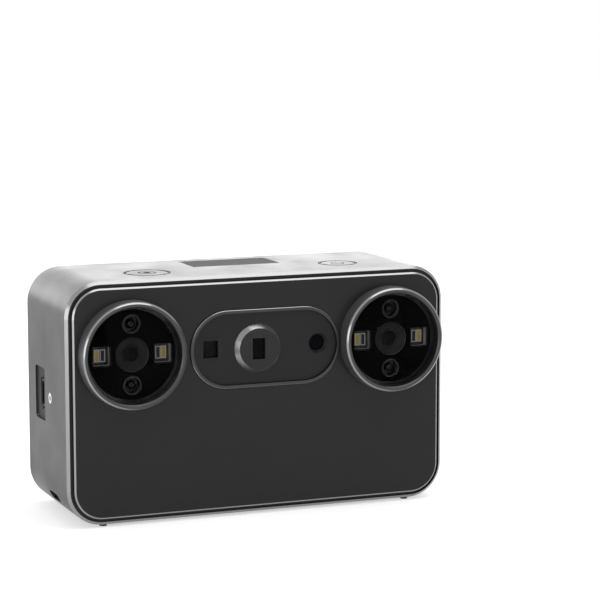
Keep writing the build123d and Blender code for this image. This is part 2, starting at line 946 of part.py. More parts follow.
with BuildPart() as pill_panel:
    extrude(
        stadium(facing_front(pill_back), pill_x, pill_v, pill_open_length + 2 * pill_flange, pill_height),
        amount=pill_flange_thick,
    )
    extrude(
        stadium(
            facing_front(plate_back),
            pill_x,
            pill_v,
            pill_open_length - 2 * seat_gap,
            pill_open_height - 2 * seat_gap,
        ),
        amount=plate_back - pill_face,
    )
    extrude(
        disc(facing_front(pill_back), projector_x, projector_v, projector_neck_radius + seat_gap),
        amount=pill_back - pill_face,
        mode=Mode.SUBTRACT,
    )
    # Square window: bevelled surround, aperture, pocket for its glass
    with BuildSketch(facing_front(pill_face)):
        with Locations((range_x, sensor_v)):
            Rectangle(range_hole_width + 2 * range_surround, range_hole_height + 2 * range_surround)
    with BuildSketch(facing_front(pill_face + range_surround_depth)):
        with Locations((range_x, sensor_v)):
            Rectangle(range_hole_width, range_hole_height)
    loft(mode=Mode.SUBTRACT)
    extrude(
        oblong(facing_front(pill_back), range_x, sensor_v, range_hole_width, range_hole_height),
        amount=pill_back - pill_face,
        mode=Mode.SUBTRACT,
    )
    extrude(
        oblong(
            facing_front(pill_back),
            range_x,
            sensor_v,
            range_glass + 2 * seat_gap,
            range_glass + 2 * seat_gap,
        ),
        amount=pill_back - range_glass_front,
        mode=Mode.SUBTRACT,
    )
    # Round camera hole: flared mouth and barrel bore
    with BuildSketch(facing_front(pill_face)):
        with Locations((colour_x, sensor_v)):
            Circle(colour_cone_radius)
    with BuildSketch(facing_front(colour_front)):
        with Locations((colour_x, sensor_v)):
            Circle(colour_hole_radius)
    loft(mode=Mode.SUBTRACT)
    extrude(
        disc(facing_front(pill_back), colour_x, sensor_v, colour_barrel_radius + seat_gap),
        amount=pill_back - colour_front,
        mode=Mode.SUBTRACT,
    )
pieces["pill_panel"] = pill_panel

with BuildPart() as projector_ring:
    add(
        turned(
            projector_x,
            projector_z,
            [
                (0, projector_face),
                (projector_face_radius, projector_face),
                (projector_base_radius, pill_face),
                (projector_neck_radius, pill_face),
                (projector_neck_radius, pill_back),
                (0, pill_back),
            ],
        ).part
    )
    extrude(
        oblong(
            facing_front(pill_back),
            projector_x,
            projector_v,
            projector_slot_width,
            projector_slot_height,
        ),
        amount=pill_back - projector_face,
        mode=Mode.SUBTRACT,
    )
    extrude(
        oblong(
            facing_front(pill_back),
            projector_x,
            projector_v,
            projector_glass_width + 2 * seat_gap,
            projector_glass_height + 2 * seat_gap,
        ),
        amount=pill_back - projector_glass_front,
        mode=Mode.SUBTRACT,
    )
pieces["projector_ring"] = projector_ring

with BuildPart() as projector_window:
    extrude(
        oblong(
            facing_front(projector_glass_back),
            projector_x,
            projector_v,
            projector_glass_width,
            projector_glass_height,
        ),
        amount=projector_glass_thick,
    )
pieces["projector_window"] = projector_window

with BuildPart() as projector_module:
    extrude(
        oblong(
            facing_front(bench_front),
            projector_x,
            projector_v,
            projector_body_width,
            projector_body_height,
        ),
        amount=bench_front - pill_back,
    )
    extrude(
        oblong(
            facing_front(pill_back),
            projector_x,
            projector_v,
            projector_glass_width - 2 * seat_gap,
            projector_glass_height - 2 * seat_gap,
        ),
        amount=pill_back - projector_glass_back,
    )
pieces["projector_module"] = projector_module

with BuildPart() as range_window:
    extrude(
        oblong(facing_front(range_glass_back), range_x, sensor_v, range_glass, range_glass),
        amount=range_glass_thick,
    )
pieces["range_window"] = range_window

with BuildPart() as range_sensor:
    extrude(
        oblong(facing_front(bench_front), range_x, sensor_v, range_body_width, range_body_height),
        amount=bench_front - pill_back,
    )
    extrude(
        oblong(
            facing_front(pill_back),
            range_x,
            sensor_v,
            range_glass - 2 * seat_gap,
            range_glass - 2 * seat_gap,
        ),
        amount=pill_back - range_glass_back,
    )
pieces["range_sensor"] = range_sensor

colour_lens_back = colour_front + colour_lens_thick
with BuildPart() as colour_camera:
    extrude(
        oblong(facing_front(bench_front), colour_x, sensor_v, colour_body, colour_body),
        amount=bench_front - pill_back,
    )
    extrude(
        disc(facing_front(pill_back), colour_x, sensor_v, colour_barrel_radius),
        amount=pill_back - colour_front,
    )
    extrude(
        disc(facing_front(pill_back), colour_x, sensor_v, colour_stop_radius),
        amount=pill_back - colour_front,
        mode=Mode.SUBTRACT,
    )
    extrude(
        disc(facing_front(colour_lens_back), colour_x, sensor_v, colour_lens_radius + seat_gap),
        amount=colour_lens_thick,
        mode=Mode.SUBTRACT,
    )
pieces["colour_camera"] = colour_camera

with BuildPart() as colour_lens:
    extrude(
        disc(facing_front(colour_lens_back), colour_x, sensor_v, colour_lens_radius),
        amount=colour_lens_thick,
    )
    fillet(colour_lens.faces().sort_by(Axis.Y)[0].edges(), colour_lens_thick / 2)
pieces["colour_lens"] = colour_lens

# Optical bench that holds the cameras and the projector in line, screwed to the posts
bench_left = left_camera_x - camera_board_size / 2 + bench_margin
bench_right = right_camera_x + camera_board_size / 2 - bench_margin
with BuildPart() as optical_bench:
    extrude(
        oblong(
            facing_front(bench_back),
            (bench_left + bench_right) / 2,
            camera_z - mid_z,
            bench_right - bench_left,
            2 * (post_spread + post_radius),
        ),
        amount=bench_thick,
    )
    bench_holes = [((range_x + projector_x) / 2, sensor_v), ((projector_x + colour_x) / 2, sensor_v)]
    extrude(
        discs(facing_front(bench_back), bench_holes, bench_hole_radius),
        amount=bench_thick,
        mode=Mode.SUBTRACT,
    )
    extrude(
        discs(facing_front(bench_back), post_spots, screw_radius),
        amount=bench_thick,
        mode=Mode.SUBTRACT,
    )
pieces["optical_bench"] = optical_bench

with BuildPart() as bench_screws:
    extrude(
        discs(facing_front(bench_back + screw_head_thick), post_spots, screw_head_radius),
        amount=screw_head_thick,
    )
    extrude(discs(facing_front(bench_back), post_spots, screw_radius), amount=bench_thick + screw_bite)
pieces["bench_screws"] = bench_screws

# Rear bezel with the glass recess, the scooped groove and the tray posts
corner_signs = [(-1, -1), (-1, 1), (1, -1), (1, 1)]
tray_spots = [(u * tray_post_x, v * tray_post_z) for u, v in corner_signs]
standoff_spots = [(u * standoff_x, v * standoff_z) for u, v in corner_signs]
scoop_x = -plate_width / 2 + scoop_edge + scoop_width / 2
with BuildPart() as rear_bezel:
    extrude(
        rounded(facing_front(bezel_y), 0, 0, plate_width, plate_height, plate_corner),
        amount=panel_thick,
    )
    chamfer(rear_bezel.faces().sort_by(Axis.Y)[-1].edges(), panel_chamfer)
    extrude(discs(facing_front(bezel_front), tray_spots, tray_post_radius), amount=bezel_front - lcd_front)
    extrude(
        rounded(
            facing_front(bezel_y),
            0,
            0,
            glass_width + 2 * seat_gap,
            glass_height + 2 * seat_gap,
            glass_corner + seat_gap,
        ),
        amount=glass_sink + glass_thick,
        mode=Mode.SUBTRACT,
    )
    extrude(
        rounded(
            facing_front(bezel_y),
            0,
            0,
            glass_width - 2 * glass_ledge,
            glass_height - 2 * glass_ledge,
            glass_corner,
        ),
        amount=panel_thick,
        mode=Mode.SUBTRACT,
    )
    extrude(
        stadium(facing_front(bezel_y), scoop_x, scoop_raise, scoop_length, scoop_width, 90),
        amount=scoop_depth,
        mode=Mode.SUBTRACT,
    )
    extrude(
        oblong(
            facing_front(bezel_y),
            -plate_width / 2,
            scoop_raise,
            2 * scoop_edge,
            scoop_length - scoop_width,
        ),
        amount=scoop_edge_drop,
        mode=Mode.SUBTRACT,
    )
    extrude(
        discs(facing_front(lcd_front), tray_spots, screw_radius),
        amount=-tray_screw_bite,
        mode=Mode.SUBTRACT,
    )
pieces["rear_bezel"] = rear_bezel

with BuildPart() as screen_glass:
    extrude(
        rounded(facing_front(glass_rear), 0, 0, glass_width, glass_height, glass_corner),
        amount=glass_thick,
    )
pieces["screen_glass"] = screen_glass

with BuildPart() as lcd_panel:
    extrude(oblong(facing_front(glass_front), 0, 0, lcd_width, lcd_height), amount=lcd_thick)
pieces["lcd_panel"] = lcd_panel

# Tray behind the display, with standoffs that carry the main board
tray_width = inner_width - 2 * tray_margin
tray_height = inner_height - 2 * tray_margin
tray_corner = inner_corner - tray_margin
with BuildPart() as display_tray:
    extrude(rounded(facing_front(lcd_front), 0, 0, tray_width, tray_height, tray_corner), amount=tray_thick)
    extrude(
        discs(facing_front(tray_front), standoff_spots, standoff_radius),
        amount=tray_front - board_rear,
    )
    extrude(
        discs(facing_front(tray_front), standoff_spots, screw_radius),
        amount=tray_front - board_rear,
        mode=Mode.SUBTRACT,
    )
    extrude(discs(facing_front(lcd_front), tray_spots, screw_radius), amount=tray_thick, mode=Mode.SUBTRACT)
pieces["display_tray"] = display_tray

with BuildPart() as tray_screws:
    extrude(discs(facing_front(tray_front), tray_spots, screw_head_radius), amount=screw_head_thick)
    extrude(
        discs(facing_front(tray_front), tray_spots, screw_radius),
        amount=-(tray_thick + tray_screw_bite),
    )
pieces["tray_screws"] = tray_screws

# Main board, its screws and the finned heat spreader
with BuildPart() as main_board:
    extrude(
        oblong(
            facing_front(board_rear),
            0,
            0,
            inner_width - 2 * board_margin_x,
            inner_height - 2 * board_margin_z,
        ),
        amount=board_thick,
    )
    extrude(
        discs(facing_front(board_rear), standoff_spots, screw_radius),
        amount=board_thick,
        mode=Mode.SUBTRACT,
    )
pieces["main_board"] = main_board

with BuildPart() as board_screws:
    extrude(discs(facing_front(board_front), standoff_spots, screw_head_radius), amount=screw_head_thick)
    extrude(
        discs(facing_front(board_front), standoff_spots, screw_radius),
        amount=-(board_thick + screw_bite),
    )
pieces["board_screws"] = board_screws

with BuildPart() as heat_spreader:
    extrude(oblong(facing_front(board_rear), 0, 0, spreader_width, spreader_height), amount=-spreader_base)
    with BuildSketch(facing_front(board_rear + spreader_base)):
        with GridLocations(spreader_fin_pitch, 1, spreader_fin_count, 1):
            Rectangle(spreader_fin_thick, spreader_height)
    extrude(amount=-spreader_fin)
pieces["heat_spreader"] = heat_spreader

# Buttons on top, each with a lip under the wall and a stem over its switch
for label, (hole_x, hole_radius) in buttons.items():
    with BuildPart() as button:
        extrude(
            disc(
                Plane.XY.offset(button_lip_top - button_lip_thick),
                hole_x,
                button_y,
                hole_radius + button_lip,
            ),
            amount=button_lip_thick,
        )
        extrude(
            disc(Plane.XY.offset(button_lip_top), hole_x, button_y, hole_radius - run_gap),
            amount=top_z - button_lip_top,
        )
        chamfer(button.faces().sort_by(Axis.Z)[-1].edges(), button_edge)
        extrude(
            disc(Plane.XY.offset(button_foot), hole_x, button_y, button_stem_radius),
            amount=button_stem_length,
        )
    pieces[label] = button

button_board_left = scan_x - button_board_end
button_board_right = power_x + button_board_end
with BuildPart() as button_board:
    extrude(
        oblong(
            Plane.XY.offset(button_board_top),
            (button_board_left + button_board_right) / 2,
            button_y,
            button_board_right - button_board_left,
            button_board_width,
        ),
        amount=-button_board_thick,
    )
    extrude(
        discs(Plane.XY.offset(button_board_top), [(x, button_y) for x in button_posts], screw_radius),
        amount=-button_board_thick,
        mode=Mode.SUBTRACT,
    )
pieces["button_board"] = button_board

with BuildPart() as button_screws:
    button_board_low = Plane.XY.offset(button_board_top - button_board_thick)
    button_screw_spots = [(x, button_y) for x in button_posts]
    extrude(discs(button_board_low, button_screw_spots, screw_head_radius), amount=-screw_head_thick)
    extrude(
        discs(button_board_low, button_screw_spots, screw_radius),
        amount=button_board_thick + button_post_length,
    )
pieces["button_screws"] = button_screws

with BuildPart() as tact_switches:
    for hole_x, hole_radius in buttons.values():
        extrude(
            oblong(Plane.XY.offset(button_board_top), hole_x, button_y, tact_size, tact_size),
            amount=tact_height,
        )
        extrude(
            disc(Plane.XY.offset(button_board_top + tact_height), hole_x, button_y, tact_plunger_radius),
            amount=tact_plunger_height,
        )
pieces["tact_switches"] = tact_switches

# Glossy inlay in the top
with BuildPart() as top_inlay:
    extrude(
        rounded(
            Plane.XY.offset(top_z - inlay_thick),
            inlay_x,
            inlay_y,
            inlay_width - 2 * seat_gap,
            inlay_depth - 2 * seat_gap,
            inlay_corner,
        ),
        amount=inlay_thick,
    )
    chamfer(top_inlay.faces().sort_by(Axis.Z)[-1].edges(), inlay_chamfer)
pieces["top_inlay"] = top_inlay

# USB socket with its tongue, standing on the main board
usb_mouth = usb_floor + run_gap
with BuildPart() as usb_socket:
    extrude(
        stadium(facing_right(usb_mouth), usb_y, -usb_drop, usb_shell_length, usb_shell_width, 90),
        amount=usb_shell_depth,
    )
    extrude(
        stadium(
            facing_right(usb_mouth),
            usb_y,
            -usb_drop,
            usb_shell_length - 2 * usb_shell_wall,
            usb_shell_width - 2 * usb_shell_wall,
            90,
        ),
        amount=usb_shell_depth - usb_back_wall,
        mode=Mode.SUBTRACT,
    )
    extrude(
        oblong(
            facing_right(usb_mouth + usb_tongue_tip),
            usb_y,
            -usb_drop,
            usb_tongue_thick,
            usb_tongue_length,
        ),
        amount=usb_shell_depth - usb_tongue_tip,
    )
pieces["usb_socket"] = usb_socket

with BuildPart() as usb_lock_insert:
    extrude(disc(facing_right(left_face), lock_y, -usb_drop, lock_outer_radius), amount=frame_wall)
    extrude(
        disc(facing_right(left_face), lock_y, -usb_drop, lock_thread_radius),
        amount=frame_wall,
        mode=Mode.SUBTRACT,
    )
pieces["usb_lock_insert"] = usb_lock_insert

with BuildPart() as lanyard_bar:
    extrude(disc(lanyard_bar_start, 0, 0, lanyard_bar_radius), amount=lanyard_bar_length)
pieces["lanyard_bar"] = lanyard_bar

# Feet and tripod insert
with BuildPart() as feet:
    extrude(discs(Plane.XY, foot_spots, foot_radius), amount=foot_height)
    extrude(discs(Plane.XY.offset(foot_height), foot_spots, foot_peg_radius), amount=foot_peg_length)
pieces["feet"] = feet

tripod_y = (frame_front + frame_rear) / 2
with BuildPart() as tripod_insert:
    extrude(disc(Plane.XY.offset(base_z), 0, tripod_y, tripod_body_radius), amount=tripod_height)
    extrude(disc(Plane.XY.offset(floor_z), 0, tripod_y, tripod_flange_radius), amount=tripod_flange_thick)
    extrude(
        disc(Plane.XY.offset(base_z), 0, tripod_y, tripod_thread_radius),
        amount=tripod_thread_depth,
        mode=Mode.SUBTRACT,
    )
pieces["tripod_insert"] = tripod_insert

# Switch panel, mode switch and its knob
with BuildPart() as switch_panel:
    extrude(
        rounded(
            facing_right(switch_floor),
            side_y,
            switch_panel_v,
            side_width - 2 * door_gap,
            switch_panel_height - 2 * door_gap,
            switch_panel_corner - door_gap,
        ),
        amount=switch_panel_thick,
    )
    extrude(
        rounded(
            facing_right(switch_floor),
            switch_y,
            switch_panel_v,
            switch_window_width,
            switch_window_height,
            switch_window_corner,
        ),
        amount=switch_panel_thick,
        mode=Mode.SUBTRACT,
    )
pieces["switch_panel"] = switch_panel

with BuildPart() as mode_switch_body:
    extrude(
        oblong(facing_right(inside_x), switch_y, switch_panel_v, switch_body_width, switch_body_height),
        amount=-switch_body_depth,
    )
    extrude(
        oblong(
            facing_right(inside_x),
            switch_y,
            switch_panel_v + switch_rise - switch_travel / 2,
            switch_stem + 2 * run_gap,
            switch_stem + switch_travel + 2 * run_gap,
        ),
        amount=-(switch_stem_depth + run_gap),
        mode=Mode.SUBTRACT,
    )
pieces["mode_switch_body"] = mode_switch_body

with BuildPart() as mode_switch_knob:
    knob_v = switch_panel_v + switch_rise
    extrude(
        rounded(
            facing_right(inside_x + seat_gap),
            switch_y,
            knob_v,
            switch_knob_width,
            switch_knob_height,
            switch_window_corner - run_gap,
        ),
        amount=frame_wall - seat_gap - switch_knob_sink,
    )
    extrude(
        oblong(facing_right(inside_x + seat_gap), switch_y, knob_v, switch_stem, switch_stem),
        amount=-(switch_stem_depth + seat_gap),
    )
pieces["mode_switch_knob"] = mode_switch_knob

# Battery door: leaf, hinge knuckle, latch window and the track that the latch slides in
track_low = latch_tail - run_gap
track_top = latch_shoulder + latch_travel + run_gap
with BuildPart() as battery_door:
    with BuildSketch(facing_right(door_inner)) as leaf_outline:
        with Locations((side_y, (hinge_z + door_top) / 2 - mid_z)):
            Rectangle(side_width - 2 * door_gap, door_top - hinge_z)
        fillet(leaf_outline.vertices().group_by(Axis.Y)[-1], door_corner)
    extrude(amount=door_leaf)
    with BuildSketch(Plane(origin=(hinge_x, side_front + door_gap, hinge_z), z_dir=(0, 1, 0))):
        Circle(door_knuckle_radius)
    extrude(amount=side_width - 2 * door_gap)
    with BuildSketch(Plane(origin=(hinge_x, side_front, hinge_z), z_dir=(0, 1, 0))):
        Circle(hinge_pin_radius + seat_gap)
    extrude(amount=side_width, mode=Mode.SUBTRACT)
    extrude(
        rounded(
            facing_right(door_inner),
            latch_y,
            latch_v,
            latch_window_width,
            latch_window_height,
            latch_window_corner,
        ),
        amount=door_leaf,
        mode=Mode.SUBTRACT,
    )
    extrude(
        oblong(
            facing_right(latch_plate_inner - seat_gap),
            latch_y,
            (track_low + track_top) / 2 - mid_z,
            latch_plate_width + 2 * run_gap,
            track_top - track_low,
        ),
        amount=latch_plate_thick + 2 * seat_gap,
        mode=Mode.SUBTRACT,
    )
    extrude(
        oblong(
            facing_right(door_inner),
            latch_y,
            (track_low + track_top) / 2 - mid_z,
            latch_plate_width - 2 * latch_lip,
            track_top - track_low,
        ),
        amount=door_leaf - latch_skin,
        mode=Mode.SUBTRACT,
    )
    extrude(
        oblong(
            facing_right(latch_plate_inner - seat_gap),
            latch_y,
            (track_top + door_top) / 2 - mid_z,
            latch_tongue_width + 2 * run_gap,
            door_top - track_top,
        ),
        amount=latch_plate_thick + 2 * seat_gap,
        mode=Mode.SUBTRACT,
    )
pieces["battery_door"] = battery_door

with BuildPart() as door_hinge_pin:
    with BuildSketch(Plane(origin=(hinge_x, side_front - hinge_pin_bite, hinge_z), z_dir=(0, 1, 0))):
        Circle(hinge_pin_radius)
    extrude(amount=side_width + 2 * hinge_pin_bite)
pieces["door_hinge_pin"] = door_hinge_pin

with BuildPart() as door_latch:
    extrude(
        oblong(
            facing_right(latch_plate_inner),
            latch_y,
            (latch_tail + latch_shoulder) / 2 - mid_z,
            latch_plate_width,
            latch_shoulder - latch_tail,
        ),
        amount=latch_plate_thick,
    )
    extrude(
        oblong(
            facing_right(latch_plate_inner),
            latch_y,
            (latch_shoulder + latch_tongue_top) / 2 - mid_z,
            latch_tongue_width,
            latch_tongue_top - latch_shoulder,
        ),
        amount=latch_plate_thick,
    )
    extrude(
        oblong(
            facing_right(latch_plate_outer),
            latch_y,
            latch_v,
            latch_window_width - 2 * run_gap,
            latch_knob_height,
        ),
        amount=right_face - latch_knob_sink - latch_plate_outer,
    )
    with BuildSketch(facing_right(right_face - latch_knob_sink)):
        with Locations((latch_y, latch_v)):
            with GridLocations(1, latch_knob_height / latch_rib_count, 1, latch_rib_count):
                Rectangle(latch_window_width, latch_rib_width / 2)
    extrude(amount=-latch_rib_depth, mode=Mode.SUBTRACT)
pieces["door_latch"] = door_latch

# Battery bay, battery and contacts
with BuildPart() as battery_sleeve:
    extrude(oblong(facing_right(bay_end), bay_y, bay_v, bay_width, bay_height), amount=bay_length)
    extrude(
        oblong(
            facing_right(bay_end + bay_wall),
            bay_y,
            bay_v,
            bay_width - 2 * bay_wall,
            bay_height - 2 * bay_wall,
        ),
        amount=bay_length - bay_wall,
        mode=Mode.SUBTRACT,
    )
    for rib_x in bay_ribs:
        extrude(
            oblong(Plane.XY.offset(floor_z), rib_x, bay_y, bay_rib_thick, bay_width),
            amount=bay_low - floor_z,
        )
pieces["battery_sleeve"] = battery_sleeve

with BuildPart() as battery_pack:
    extrude(
        rounded(facing_right(battery_inner), bay_y, bay_v, battery_width, battery_height, battery_round),
        amount=battery_outer - battery_inner,
    )
pieces["battery_pack"] = battery_pack

with BuildPart() as battery_contacts:
    extrude(
        oblong(facing_right(bay_end + bay_wall), bay_y, bay_v, battery_width, battery_height),
        amount=contact_thick,
    )
    with BuildSketch(facing_right(bay_end + bay_wall + contact_thick)):
        with Locations((bay_y, bay_v)):
            with GridLocations(1, contact_pad_pitch, 1, contact_pad_count):
                Rectangle(contact_pad_size, contact_pad_size)
    extrude(amount=contact_pad_thick)
pieces["battery_contacts"] = battery_contacts

for label, piece in pieces.items():
    piece.part.label = label
    export_step(piece.part, f"parts/{label}.step")
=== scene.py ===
"""Looks of a compact hand-held three-d scanner: finishes, fine details, the lit display and a studio."""

import itertools
import math

import bmesh
import bpy
from bpy.props import FloatProperty, FloatVectorProperty, PointerProperty
from bpy.types import NodeSocket, Operator, Panel, PropertyGroup
from mathutils import Matrix, Vector


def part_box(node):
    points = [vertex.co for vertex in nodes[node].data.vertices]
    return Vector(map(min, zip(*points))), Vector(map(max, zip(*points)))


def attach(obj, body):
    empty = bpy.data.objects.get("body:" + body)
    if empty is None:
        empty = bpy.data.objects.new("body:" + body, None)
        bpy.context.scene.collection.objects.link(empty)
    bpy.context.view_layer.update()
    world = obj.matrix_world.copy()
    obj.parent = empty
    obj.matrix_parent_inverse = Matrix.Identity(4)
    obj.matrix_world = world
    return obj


bl_info = {
    "name": "Scanner looks",
    "version": (1, 0, 0),
    "blender": (4, 5, 0),
    "location": "View3D > Sidebar > Scanner",
    "description": "Finishes and fine details for a hand-held three-d scanner",
    "category": "Object",
}

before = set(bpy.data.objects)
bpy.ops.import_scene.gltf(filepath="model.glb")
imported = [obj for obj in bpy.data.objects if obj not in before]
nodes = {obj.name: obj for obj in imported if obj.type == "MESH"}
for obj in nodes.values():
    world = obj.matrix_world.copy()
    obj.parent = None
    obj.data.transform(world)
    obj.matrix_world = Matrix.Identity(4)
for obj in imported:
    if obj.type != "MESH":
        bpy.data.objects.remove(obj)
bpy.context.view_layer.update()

MM = 0.001
FULL_TURN = 2.0 * math.pi
FRONT_AXIS = (0.0, 1.0, 0.0)
SIDE_AXIS = (1.0, 0.0, 0.0)
UP_AXIS = (0.0, 0.0, 1.0)
SIDES = ("left", "right")
BOTH_WAYS = (-1, 1)
WHITE = (1.0, 1.0, 1.0, 1.0)
SPECULAR = "Specular IOR Level"


def middle(node):
    """Centre of a CAD node's box."""
    low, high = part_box(node)
    return (Vector(low) + Vector(high)) / 2.0


def grey(value):
    return (value, value, value)


def scaled(tone, factor):
    """A darker or lighter colour."""
    return tuple(channel * factor for channel in tone)


# Sizes and colours

COLOUR = {"subtype": "COLOR", "size": 3, "min": 0.0, "max": 1.0}


class ScannerFinishes(PropertyGroup):
    """Colours of the case and its trim."""

    case: FloatVectorProperty(
        name="Case", description="Blasted metal of the case", default=(0.032, 0.032, 0.034), **COLOUR
    )
    panel: FloatVectorProperty(
        name="Front plate", description="Dark paint of the plate", default=(0.012, 0.012, 0.013), **COLOUR
    )
    bezel: FloatVectorProperty(
        name="Rear bezel", description="Dark paint round the display", default=(0.034, 0.034, 0.036), **COLOUR
    )
    ring: FloatVectorProperty(
        name="Camera rings", description="Dark anodised metal", default=(0.060, 0.060, 0.063), **COLOUR
    )
    wall: FloatVectorProperty(
        name="Ring walls", description="Blasted walls of the rings", default=(0.20, 0.20, 0.205), **COLOUR
    )
    rim: FloatVectorProperty(
        name="Cut edges", description="Bright metal of the chamfers", default=(0.27, 0.27, 0.275), **COLOUR
    )
    grain: FloatProperty(
        name="Grain", description="Blasting grains per metre", min=500.0, max=20000.0, default=5200.0
    )


class ScannerDisplay(PropertyGroup):
    """The lit area of the display."""

    width: FloatProperty(name="Width", description="Lit width", unit="LENGTH", default=88.5 * MM)
    height: FloatProperty(name="Height", description="Lit height", unit="LENGTH", default=49.8 * MM)
    offset: FloatProperty(
        name="Offset",
        description="How far the lit area sits to the viewer's right",
        unit="LENGTH",
        default=1.3 * MM,
    )
    ground: FloatVectorProperty(
        name="Ground", description="Dark ground of the display", default=(0.046, 0.049, 0.062), **COLOUR
    )
    subject: FloatVectorProperty(
        name="Subject", description="Colour of the scanned subject", default=(0.010, 0.250, 0.720), **COLOUR
    )
    shine: FloatVectorProperty(
        name="Shine", description="Lightest colour of the subject", default=(0.20, 0.72, 1.0), **COLOUR
    )


class ScannerStudio(PropertyGroup):
    """Floor, lights and camera."""

    floor: FloatProperty(name="Floor", description="Lightness of the floor", default=0.70, min=0.0, max=1.0)
    softbox: FloatProperty(
        name="Softbox", description="Power of the softbox overhead", unit="POWER", default=7.0
    )
    left_card: FloatProperty(
        name="Left card", description="Power of the card at the front left", unit="POWER", default=0.45
    )
    rear_card: FloatProperty(
        name="Rear card", description="Power of the card behind the object", unit="POWER", default=11.0
    )
    front_card: FloatProperty(
        name="Front card", description="Power of the card before the object", unit="POWER", default=6.0
    )
    rear_sky: FloatProperty(name="Rear wall", description="Brightness behind the object", default=0.75)
    front_sky: FloatProperty(name="Front wall", description="Brightness before the object", default=0.28)
    lens: FloatProperty(
        name="Lens", description="Focal length on a 36 mm sensor", subtype="DISTANCE_CAMERA", default=142.84
    )


# Nodes

GRAIN_DEPTH = 0.04 * MM  # height of the fine relief


class Network:
    """Adds nodes to a material, a shared effect or the world."""

    def __init__(self, tree):
        self.tree = tree

    def plug(self, value, socket):
        """Wires another node's output to an input, or sets the input to a plain value."""
        if isinstance(value, NodeSocket):
            self.tree.links.new(value, socket)
        else:
            socket.default_value = value

    def put(self, kind, operation=None, **inputs):
        """Adds a node; its inputs go by name, or by number as i0, i1."""
        node = self.tree.nodes.new(kind)
        if operation:
            node.operation = operation
        for name, value in inputs.items():
            number = name[1:]
            self.plug(value, node.inputs[int(number) if number.isdigit() else name])
        return node

    def calc(self, operation, first, second=0.0, third=0.0):
        return self.put("ShaderNodeMath", operation, i0=first, i1=second, i2=third).outputs[0]

    def slope(self, value, rise, start):
        """A straight line: start, plus rise times the value."""
        return self.calc("MULTIPLY_ADD", value, rise, start)

    def ramp(self, value, low, high, smooth=False):
        """0 up to low, and 1 from high on."""
        node = self.put("ShaderNodeMapRange", **{"Value": value, "From Min": low, "From Max": high})
        node.interpolation_type = "SMOOTHSTEP" if smooth else "LINEAR"
        return node.outputs[0]

    def vector(self, operation, first, second=(0.0, 0.0, 0.0)):
        """Vector arithmetic; a length or a dot product comes out as a value."""
        node = self.put("ShaderNodeVectorMath", operation, i0=first, i1=second)
        return node.outputs["Value" if operation in ("DOT_PRODUCT", "LENGTH") else "Vector"]

    def split(self, source):
        """The X, Y and Z of a vector."""
        return self.put("ShaderNodeSeparateXYZ", Vector=source).outputs

    def place(self, kind="Object"):
        """A point's place in its own frame or, with Normal, the way its face looks."""
        return self.put("ShaderNodeTexCoord").outputs[kind]

    def noise(self, at, scale, **values):
        return self.put("ShaderNodeTexNoise", Vector=at, Scale=scale, **values).outputs["Fac"]

    def blend(self, factor, first, second):
        """A colour between two others."""
        mix = self.tree.nodes.new("ShaderNodeMix")
        mix.data_type = "RGBA"
        for name, value in (("Factor_Float", factor), ("A_Color", first), ("B_Color", second)):
            socket = next(s for s in mix.inputs if s.identifier == name)
            self.plug(value if isinstance(value, NodeSocket) else (*value, 1.0), socket)
        return next(s for s in mix.outputs if s.identifier == "Result_Color")

    def blend_value(self, factor, first, second):
        """A value between two others."""
        return self.slope(factor, self.calc("SUBTRACT", second, first), first)

    def use(self, name, **values):
        """Places a shared effect with its own values."""
        node = self.tree.nodes.new("ShaderNodeGroup")
        node.node_tree = bpy.data.node_groups.get(name) or make_effect(name)
        for socket, value in values.items():
            node.inputs[socket].default_value = value
        return node.outputs


class Finish(Network):
    """A new material; sockets are the shader's own plain values."""

    def __init__(self, name, sockets):
        self.material = bpy.data.materials.new(name)
        self.material.use_nodes = True
        super().__init__(self.material.node_tree)
        self.shader = self.tree.nodes["Principled BSDF"].inputs
        for socket, value in sockets.items():
            self.shader[socket].default_value = value

    def feed(self, sources, height=None, bump=0.0):
        """Wires varying colours and values and, where one is given, a relief to the shader."""
        if height:
            relief = self.put("ShaderNodeBump", Strength=bump, Distance=GRAIN_DEPTH, Height=height)
            self.plug(relief.outputs[0], self.shader["Normal"])
        for socket, source in sources.items():
            self.plug(source, self.shader[socket])
        return self.material


# Shared effects

CUT_SLANT = (0.10, 0.24)  # how far a face slants before it counts as cut


def grain_effect(net, given):
    """Fine blasting or moulding grain, and slow patches of tone."""
    at = net.place()
    fine = net.noise(at, given["Grain"], Detail=3.0, Roughness=0.6)
    slow = net.noise(at, given["Patch"], Detail=4.0, Roughness=0.55)
    return fine, net.ramp(slow, 0.3, 0.7)


def edge_effect(net, given):
    """Finds chamfers and rounded edges: faces that lie neither along nor across an axis."""
    along = net.calc("ABSOLUTE", net.vector("DOT_PRODUCT", net.place("Normal"), given["Axis"]))
    square = net.calc("SUBTRACT", 1.0, net.calc("MULTIPLY", along, along))
    across = net.calc("SQRT", net.calc("MAXIMUM", square))
    slant = net.calc("SUBTRACT", 1.0, net.calc("MAXIMUM", along, across))
    return net.ramp(slant, *CUT_SLANT, smooth=True), along


def turned_effect(net, given):
    """Fine rings left by a lathe about an axis."""
    at = net.place()
    off = net.vector("SUBTRACT", at, given["Centre"])
    along = net.vector("PROJECT", off, given["Axis"])
    radius = net.vector("LENGTH", net.vector("SUBTRACT", off, along))
    path = net.calc("ADD", radius, net.vector("LENGTH", along))
    path = net.calc("MULTIPLY", path, given["Rings"])
    wobble = net.noise(at, 900.0, Detail=2.0)
    wave = net.calc("SINE", net.slope(wobble, 4.0, path))
    return net.slope(wave, 0.5, 0.5), radius


def streak_effect(net, given):
    """Drawn or brushed streaks along one direction."""
    drawn_out = net.vector("MULTIPLY", net.place(), given["Stretch"])
    return (net.noise(drawn_out, 1.0, Detail=4.0, Roughness=0.6),)


